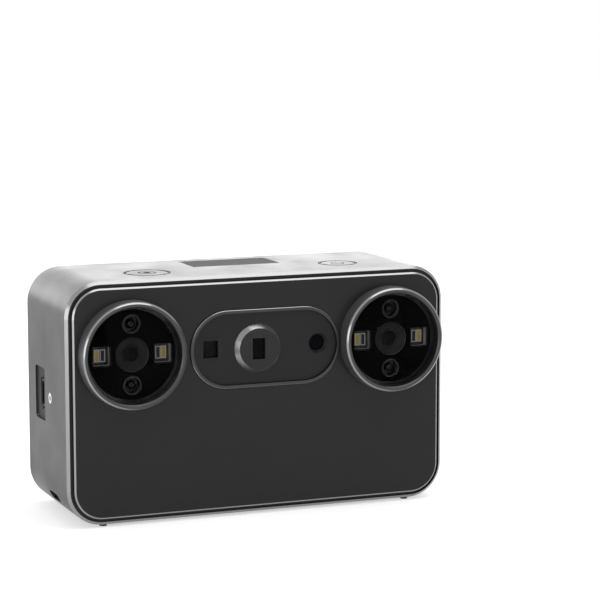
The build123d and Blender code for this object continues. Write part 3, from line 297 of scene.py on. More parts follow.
def handling_effect(net, given):
    """Faint finger marks as slow smears."""
    slow = net.noise(net.place(), given["Smear"], Detail=5.0, Distortion=0.6)
    return (net.ramp(slow, 0.48, 0.72),)


def copper_effect(net, given):
    """Copper runs and soldered pads on a circuit board."""
    at = net.place()
    runs = net.put("ShaderNodeTexVoronoi", Vector=at, Scale=given["Pitch"])
    runs.feature = "DISTANCE_TO_EDGE"
    pads = net.put("ShaderNodeTexVoronoi", Vector=at, Scale=given["Pitch"])
    pads.distance = "CHEBYCHEV"
    return (
        net.calc("LESS_THAN", runs.outputs["Distance"], 0.07),
        net.calc("LESS_THAN", pads.outputs["Distance"], 0.17),
    )


def zone_effect(net, given):
    """A soft box round a centre: 1 inside, 0 outside."""
    off = net.vector("ABSOLUTE", net.vector("SUBTRACT", net.place(), given["Centre"]))
    beyond = net.split(net.vector("SUBTRACT", off, given["Half"]))
    most = net.calc("MAXIMUM", net.calc("MAXIMUM", beyond["X"], beyond["Y"]), beyond["Z"])
    return (net.calc("SUBTRACT", 1.0, net.ramp(most, 0.0, given["Soft"])),)


EFFECTS = {
    "Fine grain": (grain_effect, {"Grain": 5000.0, "Patch": 60.0}, ("Height", "Patches")),
    "Cut edge": (edge_effect, {"Axis": FRONT_AXIS}, ("Edge", "Facing")),
    "Turned rings": (
        turned_effect,
        {"Centre": (0.0, 0.0, 0.0), "Axis": FRONT_AXIS, "Rings": 6000.0},
        ("Height", "Radius"),
    ),
    "Drawn streaks": (streak_effect, {"Stretch": (40.0, 4000.0, 4000.0)}, ("Height",)),
    "Handling marks": (handling_effect, {"Smear": 45.0}, ("Marks",)),
    "Copper runs": (copper_effect, {"Pitch": 420.0}, ("Copper", "Pads")),
    "Zone": (
        zone_effect,
        {"Centre": (0.0, 0.0, 0.0), "Half": (0.01, 0.01, 0.01), "Soft": 0.05 * MM},
        ("Inside",),
    ),
}


def make_effect(name):
    """Builds a shared effect as a shader node group with named inputs and outputs."""
    build, inputs, outputs = EFFECTS[name]
    group = bpy.data.node_groups.new(name, "ShaderNodeTree")
    for socket, value in inputs.items():
        kind = "NodeSocketVector" if isinstance(value, tuple) else "NodeSocketFloat"
        made = group.interface.new_socket(name=socket, in_out="INPUT", socket_type=kind)
        made.default_value = value
    for socket in outputs:
        group.interface.new_socket(name=socket, in_out="OUTPUT", socket_type="NodeSocketFloat")
    net = Network(group)
    given, result = net.put("NodeGroupInput").outputs, net.put("NodeGroupOutput").inputs
    for socket, value in zip(outputs, build(net, given)):
        net.plug(value, result[socket])
    return group


# Finishes

TURNING = 9000.0  # phase of the lathe's rings per metre


def made_once(maker):
    """Makes a finish when its name is first asked for, and finds it from then on."""

    def find(name, *given, **values):
        return bpy.data.materials.get(name) or maker(name, *given, **values)

    return find


def worked_finish(
    name, tone, rough, sockets=None, grain=5200.0, patch=55.0, spread=0.06, bump=0.12,
    edge=None, edge_rough=0.22, edge_axis=FRONT_AXIS, edge_span=None,
    skirt=None, hollow=None, turned=None, drawn=None,
):
    """Paint, plastic or metal: a tone with slow patches, fine relief, handling marks and bright cut edges.

    A turned piece can keep its cut edge between two radii, edge_span, and have a skirt: the radius, tone and
    roughness of its outer wall. The argument for painted pocket shade gives the centre, half size, tone and
    added roughness of painted shade that darkens a pocket.
    """
    net = Finish(name, sockets or {})
    fine = net.use("Fine grain", Grain=grain, Patch=patch)
    height, patches = fine["Height"], fine["Patches"]
    colour = net.blend(patches, scaled(tone, 1.0 - spread), scaled(tone, 1.0 + spread))
    rough_by = net.slope(patches, rough[1] - rough[0], rough[0])
    rough_by = net.slope(net.use("Handling marks")["Marks"], 0.05, rough_by)
    if turned:
        rings = net.use("Turned rings", **turned)
        height, radius = rings["Height"], rings["Radius"]
    elif drawn:
        height = net.use("Drawn streaks", Stretch=drawn)["Height"]
    if skirt:
        beyond, wall, wall_rough = skirt
        outer = net.calc("GREATER_THAN", radius, beyond)
        colour = net.blend(outer, colour, wall)
        rough_by = net.blend_value(outer, rough_by, wall_rough)
    # painted shade: inside the zone the colour turns dark and the metal turns to dull paint, standing in for
    # shade in a pocket
    if hollow:
        centre, half, pocket_shade_tone, rougher = hollow
        inside = net.use("Zone", Centre=centre, Half=half)["Inside"]
        colour = net.blend(inside, colour, pocket_shade_tone)
        rough_by = net.slope(inside, rougher, rough_by)
    if edge is not None:
        cut = net.use("Cut edge", Axis=edge_axis)["Edge"]
        if edge_span:
            beyond = net.calc("GREATER_THAN", radius, edge_span[0])
            within = net.calc("LESS_THAN", radius, edge_span[1])
            cut = net.calc("MULTIPLY", cut, net.calc("MULTIPLY", beyond, within))
        plain = net.shader["Metallic"].default_value
        metal = net.slope(cut, 1.0 - plain, plain)
        if hollow:
            metal = net.calc("SUBTRACT", metal, inside)
        colour = net.blend(cut, colour, edge)
        rough_by = net.blend_value(cut, rough_by, edge_rough)
        net.feed({"Metallic": metal})
    return net.feed({"Base Color": colour, "Roughness": rough_by}, height, bump)


def blasted_finish(name, **values):
    """Bead-blasted case metal, finely rough."""
    look = bpy.context.scene.scanner_finishes
    return worked_finish(
        name, look.case, (0.34, 0.40), {"Metallic": 1.0}, grain=look.grain, spread=0.035, **values
    )


def panel_finish(name, tone):
    """Dark satin paint with a bright cut chamfer."""
    edge = {"edge": bpy.context.scene.scanner_finishes.rim, "edge_rough": 0.2}
    return worked_finish(
        name, tone, (0.28, 0.32), {SPECULAR: 0.22}, grain=7000.0, spread=0.08, bump=0.05, **edge
    )


@made_once
def plastic_finish(name, tone, rough, **values):
    """Moulded plastic with a spark-eroded grain."""
    return worked_finish(name, tone, rough, bump=0.14, grain=3600.0, **values)


@made_once
def metal_finish(name, tone, rough=(0.22, 0.32), **values):
    """Bare metal."""
    return worked_finish(name, tone, rough, {"Metallic": 1.0}, **values)


@made_once
def board_finish(name):
    """Dark green solder mask over copper, with tinned pads."""
    net = Finish(name, {"Coat Weight": 0.3, "Coat Roughness": 0.2})
    runs = net.use("Copper runs")
    copper, pads = runs["Copper"], runs["Pads"]
    patches = net.use("Fine grain", Patch=90.0)["Patches"]
    mask = net.blend(patches, (0.006, 0.045, 0.020), (0.008, 0.060, 0.028))
    mask = net.blend(copper, mask, (0.020, 0.115, 0.050))
    mask = net.blend(pads, mask, (0.62, 0.60, 0.55))
    rough, height = net.slope(patches, 0.1, 0.34), net.calc("ADD", copper, pads)
    return net.feed({"Base Color": mask, "Metallic": pads, "Roughness": rough}, height, 0.3)


def window_finish(name, lightness, opacity, specular):
    """Coated cover glass: dark, thin and clear enough to show what is behind it."""
    net = Finish(name, {SPECULAR: specular, "Alpha": opacity, "IOR": 1.5})
    marks = net.use("Handling marks", Smear=70.0)["Marks"]
    colour = net.blend(marks, grey(lightness), grey(lightness * 1.3))
    return net.feed({"Base Color": colour, "Roughness": net.slope(marks, 0.05, 0.03)})


@made_once
def lens_finish(name, strength=1.0):
    """Coated glass with a deep, faintly violet body; the strength sets how light body and gloss are."""
    net = Finish(name, {SPECULAR: 0.08 * strength})
    tint = net.use("Fine grain", Patch=260.0)["Patches"]
    marks = net.use("Handling marks", Smear=400.0)["Marks"]
    body = net.blend(tint, scaled((0.004, 0.005, 0.010), strength), scaled((0.009, 0.007, 0.014), strength))
    return net.feed({"Base Color": body, "Roughness": net.slope(marks, 0.03, 0.04)})


@made_once
def glow_finish(name, tone, strength):
    """A surface that gives off light: a lit display mark; on the LED phosphors and frames, which are no
    lamps, the glow is painted light.
    """
    net = Finish(name, {"Emission Strength": strength, SPECULAR: 0.2})
    patches = net.use("Fine grain", Patch=900.0)["Patches"]
    lit = net.blend(patches, scaled(tone, 0.88), tone)
    unlit = net.blend(patches, scaled(tone, 0.1), scaled(tone, 0.12))
    rough = net.slope(patches, 0.08, 0.4)
    return net.feed({"Emission Color": lit, "Base Color": unlit, "Roughness": rough})


def dark_print():
    return plastic_finish("Printed ink", grey(0.012), (0.7, 0.8), patch=700.0, sockets={SPECULAR: 0.0})


def pale_print():
    return plastic_finish("Pale print", grey(0.62), (0.5, 0.6), patch=700.0)


def paint(node, finish):
    """Gives a CAD node its finish."""
    slots = nodes[node].data.materials
    slots.clear()
    slots.append(finish)


def mould(node, name, lightness, rough, **values):
    """Gives a CAD node a grey plastic or rubber finish."""
    paint(node, plastic_finish(name, grey(lightness), rough, **values))


# Modelling

MERGE_BELOW = 1e-7
SMOOTH_BELOW = math.radians(35.0)
CORNER_STEPS = 4
RIDGE_FOOT = 0.42  # half the foot of a thread ridge, as a share of the pitch
PRINT = 0.03 * MM  # thickness of printed marks


def add_object(name, mesh, finish):
    """Turns a bmesh into an object at the origin."""
    data = bpy.data.meshes.new(name)
    mesh.to_mesh(data)
    mesh.free()
    data.materials.append(finish)
    made = bpy.data.objects.new(name, data)
    bpy.context.scene.collection.objects.link(made)
    return made


def finish_piece(name, mesh, finish, body):
    """Cleans a bmesh and turns it into an object that rides on a body."""
    bmesh.ops.remove_doubles(mesh, verts=mesh.verts, dist=MERGE_BELOW)
    bmesh.ops.recalc_face_normals(mesh, faces=mesh.faces)
    if not mesh.faces:
        raise RuntimeError(f"{name} has no faces")
    for edge in mesh.edges:
        edge.smooth = len(edge.link_faces) == 2 and edge.calc_face_angle(0.0) < SMOOTH_BELOW
    for face in mesh.faces:
        face.smooth = True
    piece = add_object(name, mesh, finish)
    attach(piece, body)


def slab(mesh, centre, size, corner=0.0, axis=1):
    """A flat block, its corners rounded about one axis."""
    spread = Matrix.Translation(centre) @ Matrix.Diagonal((*size, 1.0))
    verts = bmesh.ops.create_cube(mesh, size=1.0, matrix=spread)["verts"]
    if corner:
        posts = {
            edge
            for vert in verts
            for edge in vert.link_edges
            if abs((edge.verts[0].co - edge.verts[1].co).normalized()[axis]) > 0.99
        }
        geom = list(posts)
        bmesh.ops.bevel(
            mesh, geom=geom, offset=corner, segments=CORNER_STEPS, profile=0.5, affect="EDGES", material=-1
        )


def band(mesh, centre, inner, outer, depth, axis=FRONT_AXIS, start=None, sweep=FULL_TURN, steps=32):
    """A flat ring or arc of rectangular section about an axis through its centre."""
    centre, axis = Vector(centre), Vector(axis)
    out = Vector(start) if start else axis.orthogonal().normalized()
    half = axis * depth / 2.0
    section = ((inner, -half), (outer, -half), (outer, half), (inner, half))
    corners = [mesh.verts.new(centre + out * radius + along) for radius, along in section]
    whole = abs(sweep - FULL_TURN) < 1e-6
    if whole:
        geom = corners + [mesh.edges.new((corners[i], corners[(i + 1) % 4])) for i in range(4)]
    else:
        face = mesh.faces.new(corners)
        geom = corners + list(face.edges) + [face]
    bmesh.ops.spin(
        mesh, geom=geom, cent=centre, axis=axis, dvec=(0, 0, 0), angle=sweep, steps=steps, use_merge=whole
    )


def disc(mesh, centre, radius, depth, axis=FRONT_AXIS, steps=32):
    """A flat round plate."""
    spot = Matrix.Translation(centre) @ Vector(axis).to_track_quat("Z", "Y").to_matrix().to_4x4()
    bmesh.ops.create_cone(
        mesh, cap_ends=True, segments=steps, radius1=radius, radius2=radius, depth=depth, matrix=spot
    )


def thread(mesh, centre, axis, radius, depth, pitch, turns, steps=24):
    """A helical thread ridge on the wall of a hole."""
    centre, axis = Vector(centre), Vector(axis)
    out = axis.orthogonal().normalized()
    foot = axis * pitch * RIDGE_FOOT
    section = [
        mesh.verts.new(centre + out * radius + foot),
        mesh.verts.new(centre + out * (radius - depth)),
        mesh.verts.new(centre + out * radius - foot),
    ]
    face = mesh.faces.new(section)
    bmesh.ops.spin(
        mesh,
        geom=section + list(face.edges) + [face],
        cent=centre,
        axis=axis,
        dvec=axis * (pitch / steps),
        angle=FULL_TURN * turns,
        steps=round(steps * turns),
        use_merge=False,
    )


# Operators


class ScannerPiece:
    """What every operator of the panel shares."""

    bl_options = {"REGISTER", "UNDO"}


class SCANNER_OT_case(ScannerPiece, Operator):
    """Finish the frame, its gaskets, feet and tripod insert"""

    bl_idname = "scanner.case"
    bl_label = "Case"

    def execute(self, context):
        paint("frame", self.frame_finish(context.scene.scanner_finishes))
        mould("gaskets", "Gasket rubber", 0.012, (0.6, 0.7))
        mould("feet", "Foot rubber", 0.014, (0.55, 0.65))
        seat = middle("tripod_insert")
        steel = metal_finish(
            "Turned steel", (0.55, 0.55, 0.56), turned={"Centre": tuple(seat), "Axis": UP_AXIS}
        )
        paint("tripod_insert", steel)
        mesh = bmesh.new()
        start = (seat.x, seat.y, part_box("tripod_insert")[0][2] + 0.8 * MM)
        thread(mesh, start, UP_AXIS, radius=2.56 * MM, depth=0.28 * MM, pitch=1.27 * MM, turns=4)
        finish_piece("tripod_thread_ridge", mesh, steel, "body")
        return {"FINISHED"}

    def frame_finish(self, look):
        """Case metal with bright cut edges, and painted shade darkening the pocket round the USB socket."""
        seat = middle("usb_socket")
        pocket = (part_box("frame")[0][0] + 0.8 * MM, seat.y, seat.z)
        pocket_half = (0.45 * MM, 5.7 * MM, 8.8 * MM)
        # painted shade: the pocket round the USB socket is painted near black, not metallic, and rougher
        hollow = (pocket, pocket_half, grey(0.03), 0.4)
        return blasted_finish("Blasted case metal", bump=0.08, edge=look.rim, edge_rough=0.24, hollow=hollow)


class SCANNER_OT_panels(ScannerPiece, Operator):
    """Finish the front plate and the rear bezel"""

    bl_idname = "scanner.panels"
    bl_label = "Front and rear panels"

    def execute(self, context):
        look = context.scene.scanner_finishes
        paint("front_plate", panel_finish("Front plate paint", look.panel))
        paint("rear_bezel", panel_finish("Rear bezel paint", look.bezel))
        return {"FINISHED"}


class SCANNER_OT_cameras(ScannerPiece, Operator):
    """Finish both camera clusters and add their collars and LED frames"""

    bl_idname = "scanner.cameras"
    bl_label = "Camera clusters"

    def execute(self, context):
        look = context.scene.scanner_finishes
        mask = self.mask_finish()
        for side in SIDES:
            paint(f"camera_ring_{side}", self.ring_finish(side, look))
            paint(f"camera_window_{side}", window_finish(f"Coated window {side}", 0.001, 0.22, 0.03))
            paint(f"camera_mask_{side}", mask)
            paint(f"camera_board_{side}", board_finish("Circuit board"))
            paint(f"lens_{side}", lens_finish("Lens glass"))
            mould(f"light_board_{side}", "Black solder mask", 0.030, (0.3, 0.4), spread=0.15)
            mould(
                f"lens_holder_{side}", "Lens holder", 0.032, (0.35, 0.45), spread=0.1, sockets={SPECULAR: 0.1}
            )
        gloss = {SPECULAR: 0.2, "Coat Weight": 0.2, "Coat Roughness": 0.04}
        resin = worked_finish("Emitter resin", (0.004, 0.004, 0.006), (0.08, 0.14), gloss, bump=0.02)
        paint("ir_emitters", resin)
        # painted light: the LED phosphors glow faintly though the LEDs are no lamps here
        paint("warm_leds", glow_finish("Warm phosphor", (0.60, 0.47, 0.13), 0.35))
        paint("cool_leds", glow_finish("Cool phosphor", (0.05, 0.05, 0.055), 0.2))
        self.collars()
        self.frames()
        return {"FINISHED"}

    def ring_finish(self, side, look):
        """Dark turned metal with a bright front edge and a blasted outer wall."""
        edge_span = (16.65 * MM, 17.12 * MM)
        return worked_finish(
            f"Turned ring {side}",
            look.ring,
            (0.28, 0.34),
            {"Metallic": 0.85},
            spread=0.05,
            bump=0.06,
            edge=look.rim,
            edge_rough=0.16,
            edge_span=edge_span,
            skirt=(edge_span[1], look.wall, 0.42),
            turned={"Centre": tuple(middle(f"camera_ring_{side}")), "Rings": TURNING},
        )

    def mask_finish(self):
        """Black moulded mask; the upright walls of the sunk ledges round its windows are painted pale grey as
        painted light.
        """
        net = Finish("Camera mask", {SPECULAR: 0.02})
        grain = net.use("Fine grain", Grain=3600.0, Patch=120.0)
        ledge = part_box("camera_mask_left")[0][1] + 1.3 * MM
        sunk = net.use("Zone", Centre=(0.0, ledge, 0.0), Half=(1.0, 1.05 * MM, 1.0))["Inside"]
        upright = net.calc("LESS_THAN", net.use("Cut edge")["Facing"], 0.5)
        tone = net.blend(grain["Patches"], grey(0.003), grey(0.004))
        # painted light: upright walls in the sunk zone are painted pale grey where they would catch light
        tone = net.blend(net.calc("MULTIPLY", sunk, upright), tone, grey(0.42))
        return net.feed(
            {"Base Color": tone, "Roughness": net.slope(grain["Patches"], 0.1, 0.5)}, grain["Height"], 0.02
        )

    def collars(self):
        """Thin metal collars round the emitters."""
        inner, outer, depth, rise = 2.66 * MM, 3.06 * MM, 0.8 * MM, 9.9 * MM
        mesh = bmesh.new()
        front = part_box("camera_mask_left")[0][1] + 0.5 * MM
        for side in SIDES:
            centre = middle(f"camera_mask_{side}")
            for way in BOTH_WAYS:
                band(mesh, (centre.x, front, centre.z + way * rise), inner, outer, depth, steps=36)
        metal = metal_finish("Collar metal", grey(0.06), (0.25, 0.35))
        finish_piece("emitter_collars", mesh, metal, "body")

    def frames(self):
        """White frames round the LED chips, a pair of chips on each side of a lens; they glow faintly as
        painted light.
        """
        width, height, depth, rim = 1.7 * MM, 4.0 * MM, 0.1 * MM, 0.26 * MM
        pair_reach, chip_reach = 10.2 * MM, 0.95 * MM
        across, up = (width - rim) / 2.0, (height - rim) / 2.0
        mesh = bmesh.new()
        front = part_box("warm_leds")[0][1] - depth / 2.0
        for side in SIDES:
            centre = middle(f"camera_mask_{side}")
            for pair, chip, way in itertools.product(BOTH_WAYS, repeat=3):
                x = centre.x + pair * pair_reach + chip * chip_reach
                slab(mesh, (x + way * across, front, centre.z), (rim, depth, height))
                slab(mesh, (x, front, centre.z + way * up), (width - 2.0 * rim, depth, rim))
        # painted light: the white frames glow though they are no lamps
        finish_piece("led_frames", mesh, glow_finish("LED frame", grey(0.75), 0.30), "body")


class SCANNER_OT_projector(ScannerPiece, Operator):
    """Finish the pill with the projector, the range finder and the colour camera"""

    bl_idname = "scanner.projector"
    bl_label = "Projector pill"

    def execute(self, context):
        look = context.scene.scanner_finishes
        bead = worked_finish(
            "Pill bead", grey(0.05), (0.26, 0.32), {"Metallic": 0.9}, bump=0.05, edge=look.rim
        )
        paint("pill_bezel", bead)
        mould("pill_panel", "Pill panel", 0.0115, (0.42, 0.50), spread=0.08, sockets={SPECULAR: 0.2})
        paint("projector_ring", self.ring_finish(look))
        for node in ("projector_window", "range_window"):
            paint(node, window_finish(f"{node} glass", 0.002, 0.5, 0.05))
        paint("projector_module", metal_finish("Projector block", (0.02, 0.02, 0.022), (0.2, 0.3)))
        mould("range_sensor", "Sensor block", 0.012, (0.2, 0.3))
        mould("colour_camera", "Camera barrel", 0.010, (0.35, 0.45))
        paint("colour_lens", lens_finish("Small lens glass", 0.3))
        return {"FINISHED"}

    def ring_finish(self, look):
        """Dark face, bright turned rim and wall."""
        net = Finish("Projector ring", {"Metallic": 0.85})
        turned = net.use("Turned rings", Centre=tuple(middle("projector_ring")), Rings=TURNING)
        face = net.ramp(net.use("Cut edge")["Facing"], 0.85, 0.97)
        patches = net.use("Fine grain", Patch=200.0)["Patches"]
        metal = net.blend(patches, scaled(look.rim, 0.9), look.rim)
        dark = net.blend(patches, scaled(look.ring, 0.40), scaled(look.ring, 0.47))
        colour = net.blend(face, metal, dark)
        return net.feed(
            {"Base Color": colour, "Roughness": net.slope(face, 0.12, 0.24)}, turned["Height"], 0.06
        )


LAYER = 0.03 * MM  # step from one layer of the display to the next
SHEET = 0.02 * MM  # thickness of a layer
GROUND_LAYER, MARK_LAYER, SUBJECT_LAYER = 0.5, 2, 3
ARC_STEP = 11.25  # degrees


class SCANNER_OT_display(ScannerPiece, Operator):
    """Finish the display and draw the marks on its lit area"""

    bl_idname = "scanner.display"
    bl_label = "Display"

    def execute(self, context):
        look = context.scene.scanner_display
        paint("screen_glass", window_finish("Cover glass", 0.004, 0.03, 0.03))
        mould("lcd_panel", "Display edge", 0.008, (0.3, 0.4))
        paint("display_tray", metal_finish("Pressed tray", (0.40, 0.40, 0.41), drawn=(40.0, 4000.0, 4000.0)))
        low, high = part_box("screen_glass")
        self.middle_x = (low[0] + high[0]) / 2.0 - look.offset
        self.middle_z = (low[2] + high[2]) / 2.0 - 0.25 * MM
        self.back = low[1]
        self.border(low, high, look)
        self.ground(look)
        self.status_marks()
        self.gauge()
        self.subject(look)
        self.controls()
        return {"FINISHED"}

    def at(self, right, up, layer=MARK_LAYER):
        """A point, in millimetres from the middle of the lit area as the viewer sees it."""
        return Vector((self.middle_x - right * MM, self.back + layer * LAYER, self.middle_z + up * MM))

    def border(self, low, high, look):
        """Black print behind the cover glass round the lit area."""
        margin = 0.3 * MM
        mesh = bmesh.new()
        lit = self.at(0.0, 0.0, GROUND_LAYER)
        left, right = low[0] + margin, high[0] - margin
        bottom, top = low[2] + margin, high[2] - margin
        wide, tall = look.width / 2.0, look.height / 2.0
        for start, end in ((left, lit.x - wide), (lit.x + wide, right)):
            slab(mesh, ((start + end) / 2.0, lit.y, (bottom + top) / 2.0), (end - start, SHEET, top - bottom))
        for start, end in ((bottom, lit.z - tall), (lit.z + tall, top)):
            slab(mesh, (lit.x, lit.y, (start + end) / 2.0), (2.0 * wide, SHEET, end - start))
        ink = plastic_finish("Border print", grey(0.009), (0.10, 0.16), sockets={SPECULAR: 0.15})
        finish_piece("screen_border", mesh, ink, "body")

    def ground(self, look):
        """The lit area, a little lighter towards its upper edge."""
        net = Finish("Lit ground", {"Emission Strength": 1.0, SPECULAR: 0.1})
        half = look.height / 2.0
        rise = net.ramp(net.split(net.place())["Z"], self.middle_z - half, self.middle_z + half)
        patches = net.use("Fine grain", Patch=30.0)["Patches"]
        rise = net.slope(patches, 0.12, rise)
        lit = net.blend(rise, scaled(look.ground, 0.95), scaled(look.ground, 1.12))
        unlit = net.blend(rise, grey(0.004), grey(0.006))
        rough = net.slope(patches, 0.05, 0.1)
        finish = net.feed({"Emission Color": lit, "Base Color": unlit, "Roughness": rough})
        mesh = bmesh.new()
        slab(mesh, self.at(0.0, 0.0, GROUND_LAYER), (look.width, SHEET, look.height), 0.4 * MM)
        self.show("lit_area", mesh, finish)

    def plain(self, mesh, right, up, width, height, corner=0.0):
        slab(mesh, self.at(right, up), (width * MM, SHEET, height * MM), corner * MM)

    def arc(self, mesh, right, up, inner, outer, start=0.0, sweep=360.0):
        """An arc from a start angle, anticlockwise as the viewer sees it."""
        turn = math.radians(start)
        out = Vector((-math.cos(turn), 0.0, math.sin(turn)))
        span = {"start": out, "sweep": math.radians(sweep), "steps": round(sweep / ARC_STEP)}
        band(mesh, self.at(right, up), inner * MM, outer * MM, SHEET, **span)

    def dot(self, mesh, right, up, radius):
        disc(mesh, self.at(right, up), radius * MM, SHEET, steps=24)

    def show(self, name, mesh, finish=None):
        """Adds a mark to the display, pale where no other finish is given."""
        finish = finish or glow_finish("Lit pale mark", (0.66, 0.68, 0.72), 1.0)
        finish_piece(name, mesh, finish, "body")

    def status_marks(self):
        """Upper row: battery, wireless arcs, clock and menu dots."""
        row, battery, wireless, clock, menu = 20.6, -38.0, -28.0, 32.0, 39.5
        mesh = bmesh.new()
        for side in BOTH_WAYS:
            self.plain(mesh, battery + side * 2.7, row, 0.45, 3.0)
            self.plain(mesh, battery, row + side * 1.3, 5.0, 0.45)
        self.plain(mesh, battery + 3.2, row, 0.6, 1.4)
        self.plain(mesh, battery - 0.8, row, 2.8, 1.6)
        self.dot(mesh, wireless, row - 1.4, 0.5)
        for radius in (1.4, 2.5, 3.6):
            self.arc(mesh, wireless, row - 1.6, radius - 0.25, radius + 0.25, 45.0, 90.0)
        self.arc(mesh, clock, row, 1.7, 2.1)
        self.plain(mesh, clock, row + 0.6, 0.35, 1.4)
        self.plain(mesh, clock + 0.5, row, 1.2, 0.35)
        for step in (-1, 0, 1):
            self.dot(mesh, menu, row + step * 1.3, 0.42)
        self.show("status_marks", mesh)

    def gauge(self):
        """A distance gauge of short bars on the right, its ends amber and its middle green."""
        column, pitch, longest, taper = 36.5, 3.0, 6.4, 0.7
        green, amber, pointer = bmesh.new(), bmesh.new(), bmesh.new()
        for step in range(-4, 5):
            mesh = green if abs(step) < 3 else amber
            self.plain(mesh, column, step * pitch - 1.0, longest - taper * abs(step), 2.0, 0.5)
        self.dot(pointer, 30.8, 0.4, 0.9)
        self.arc(pointer, 30.8, 0.4, 1.3, 1.6)
        self.show("gauge_middle", green, glow_finish("Lit green", (0.10, 0.46, 0.16), 1.0))
        self.show("gauge_ends", amber, glow_finish("Lit amber", (0.62, 0.20, 0.03), 1.0))
        self.show("gauge_pointer", pointer)

    def subject(self, look):
        """The scanned subject: a jar, shaded as a turned form, inside four corner brackets."""
        right, up, half_height = -3.0, -0.5, 13.0
        mesh = bmesh.new()
        uv = mesh.loops.layers.uv.new("Form")
        bmesh.ops.create_grid(mesh, x_segments=20, y_segments=40, size=1.0)
        for face in mesh.faces:
            for loop in face.loops:
                loop[uv].uv = (loop.vert.co.x, loop.vert.co.y)
        for vert in mesh.verts:
            across, rise = vert.co.x, vert.co.y
            vert.co = self.at(right + across * self.jar(rise), up + rise * half_height, SUBJECT_LAYER)
        self.show("scan_subject", mesh, self.form_finish(look))
        mesh = bmesh.new()
        for across, rise in itertools.product(BOTH_WAYS, repeat=2):
            self.plain(mesh, right + across * 19.0, up + rise * 16.0, 5.0, 0.5)
            self.plain(mesh, right + across * 21.25, up + rise * 13.75, 0.5, 4.0)
        self.show("corner_brackets", mesh)

    def jar(self, rise):
        """Half width of the jar at a height from -1 to 1."""
        belly = 5.2 + 4.6 * math.cos((rise + 0.15) * 1.9)
        lip = 1.6 * max(0.0, rise - 0.72) / 0.28
        foot = 1.4 * max(0.0, -0.86 - rise) / 0.14
        return max(3.1, belly) + lip + foot

    def form_finish(self, look):
        """Shades the flat jar as if it were round and lit from the upper left."""
        net = Finish("Scanned form", {"Emission Strength": 1.0, SPECULAR: 0.0})
        form = net.put("ShaderNodeUVMap")
        form.uv_map = "Form"
        parts = net.split(form.outputs[0])
        across, rise = parts["X"], parts["Y"]
        turn = net.calc("COSINE", net.slope(across, 1.25, 0.35))
        rings = net.calc("SINE", net.calc("MULTIPLY", rise, 34.0))
        light = net.slope(rise, 0.10, net.slope(rings, 0.10, turn))
        speckle = net.use("Fine grain", Patch=1500.0)["Patches"]
        light = net.slope(speckle, 0.12, net.calc("SUBTRACT", light, 0.06))
        lit = net.blend(light, scaled(look.subject, 0.3), look.subject)
        lit = net.blend(net.ramp(light, 0.86, 1.2), lit, look.shine)
        unlit = net.blend(light, grey(0.004), grey(0.01))
        rough = net.slope(turn, 0.05, 0.3)
        return net.feed({"Emission Color": lit, "Base Color": unlit, "Roughness": rough})

    def controls(self):
        """Lower row: a large scan mark between a stop mark and a plus mark."""
        row, stop, scan, plus = -20.4, -17.0, -3.0, 11.0
        mesh = bmesh.new()
        self.arc(mesh, scan, row, 2.6, 3.0)
        self.dot(mesh, scan, row, 1.9)
        for mark in (stop, plus):
            self.arc(mesh, mark, row, 1.9, 2.2)
        self.plain(mesh, stop, row, 1.5, 1.5)
        self.plain(mesh, plus, row, 1.7, 0.4)
        self.plain(mesh, plus, row, 0.4, 1.7)
        self.show("control_marks", mesh)


class SCANNER_OT_top(ScannerPiece, Operator):
    """Finish the buttons and the inlay, and print the buttons' marks"""

    bl_idname = "scanner.top"
    bl_label = "Top controls"

    def execute(self, context):
        look = context.scene.scanner_finishes
        cap = blasted_finish("Button cap", bump=0.08, edge=scaled(look.case, 1.6), edge_axis=UP_AXIS)
        inlay = worked_finish(
            "Gloss inlay",
            grey(0.022),
            (0.10, 0.14),
            {SPECULAR: 0.0, "Coat Weight": 0.09, "Coat Roughness": 0.05},
            bump=0.02,
            edge=grey(0.30),
            edge_axis=UP_AXIS,
            edge_rough=0.1,
        )
        paint("top_inlay", inlay)
        for button, name, mark in (
            ("scan_button", "scan_mark", self.scan_mark),
            ("power_button", "power_mark", self.power_mark),
        ):
            paint(button, cap)
            mesh = bmesh.new()
            low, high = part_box(button)
            centre = Vector(((low[0] + high[0]) / 2.0, (low[1] + high[1]) / 2.0, high[2]))
            outline = (high[0] - low[0]) / 2.0 - 0.3 * MM
            band(mesh, centre, outline - 0.4 * MM, outline, PRINT, UP_AXIS, steps=64)
            mark(mesh, centre)
            finish_piece(name, mesh, dark_print(), button)
        return {"FINISHED"}

    def scan_mark(self, mesh, centre):
        """A ring with a dot, the usual sign for taking a record."""
        band(mesh, centre, 2.5 * MM, 2.95 * MM, PRINT, UP_AXIS, steps=48)
        disc(mesh, centre, 1.2 * MM, PRINT, UP_AXIS)

    def power_mark(self, mesh, centre):
        """A broken ring and a bar, the usual sign for standby."""
        gap_end = (0.5, 0.866, 0.0)
        band(mesh, centre, 1.9 * MM, 2.3 * MM, PRINT, UP_AXIS, gap_end, math.radians(-300.0), 40)
        slab(mesh, centre + Vector((0.0, 1.7 * MM, 0.0)), (0.4 * MM, 2.0 * MM, PRINT), 0.15 * MM, axis=2)


DRAWN_DEPTHWISE = (3000.0, 60.0, 3000.0)  # streaks along the object's depth


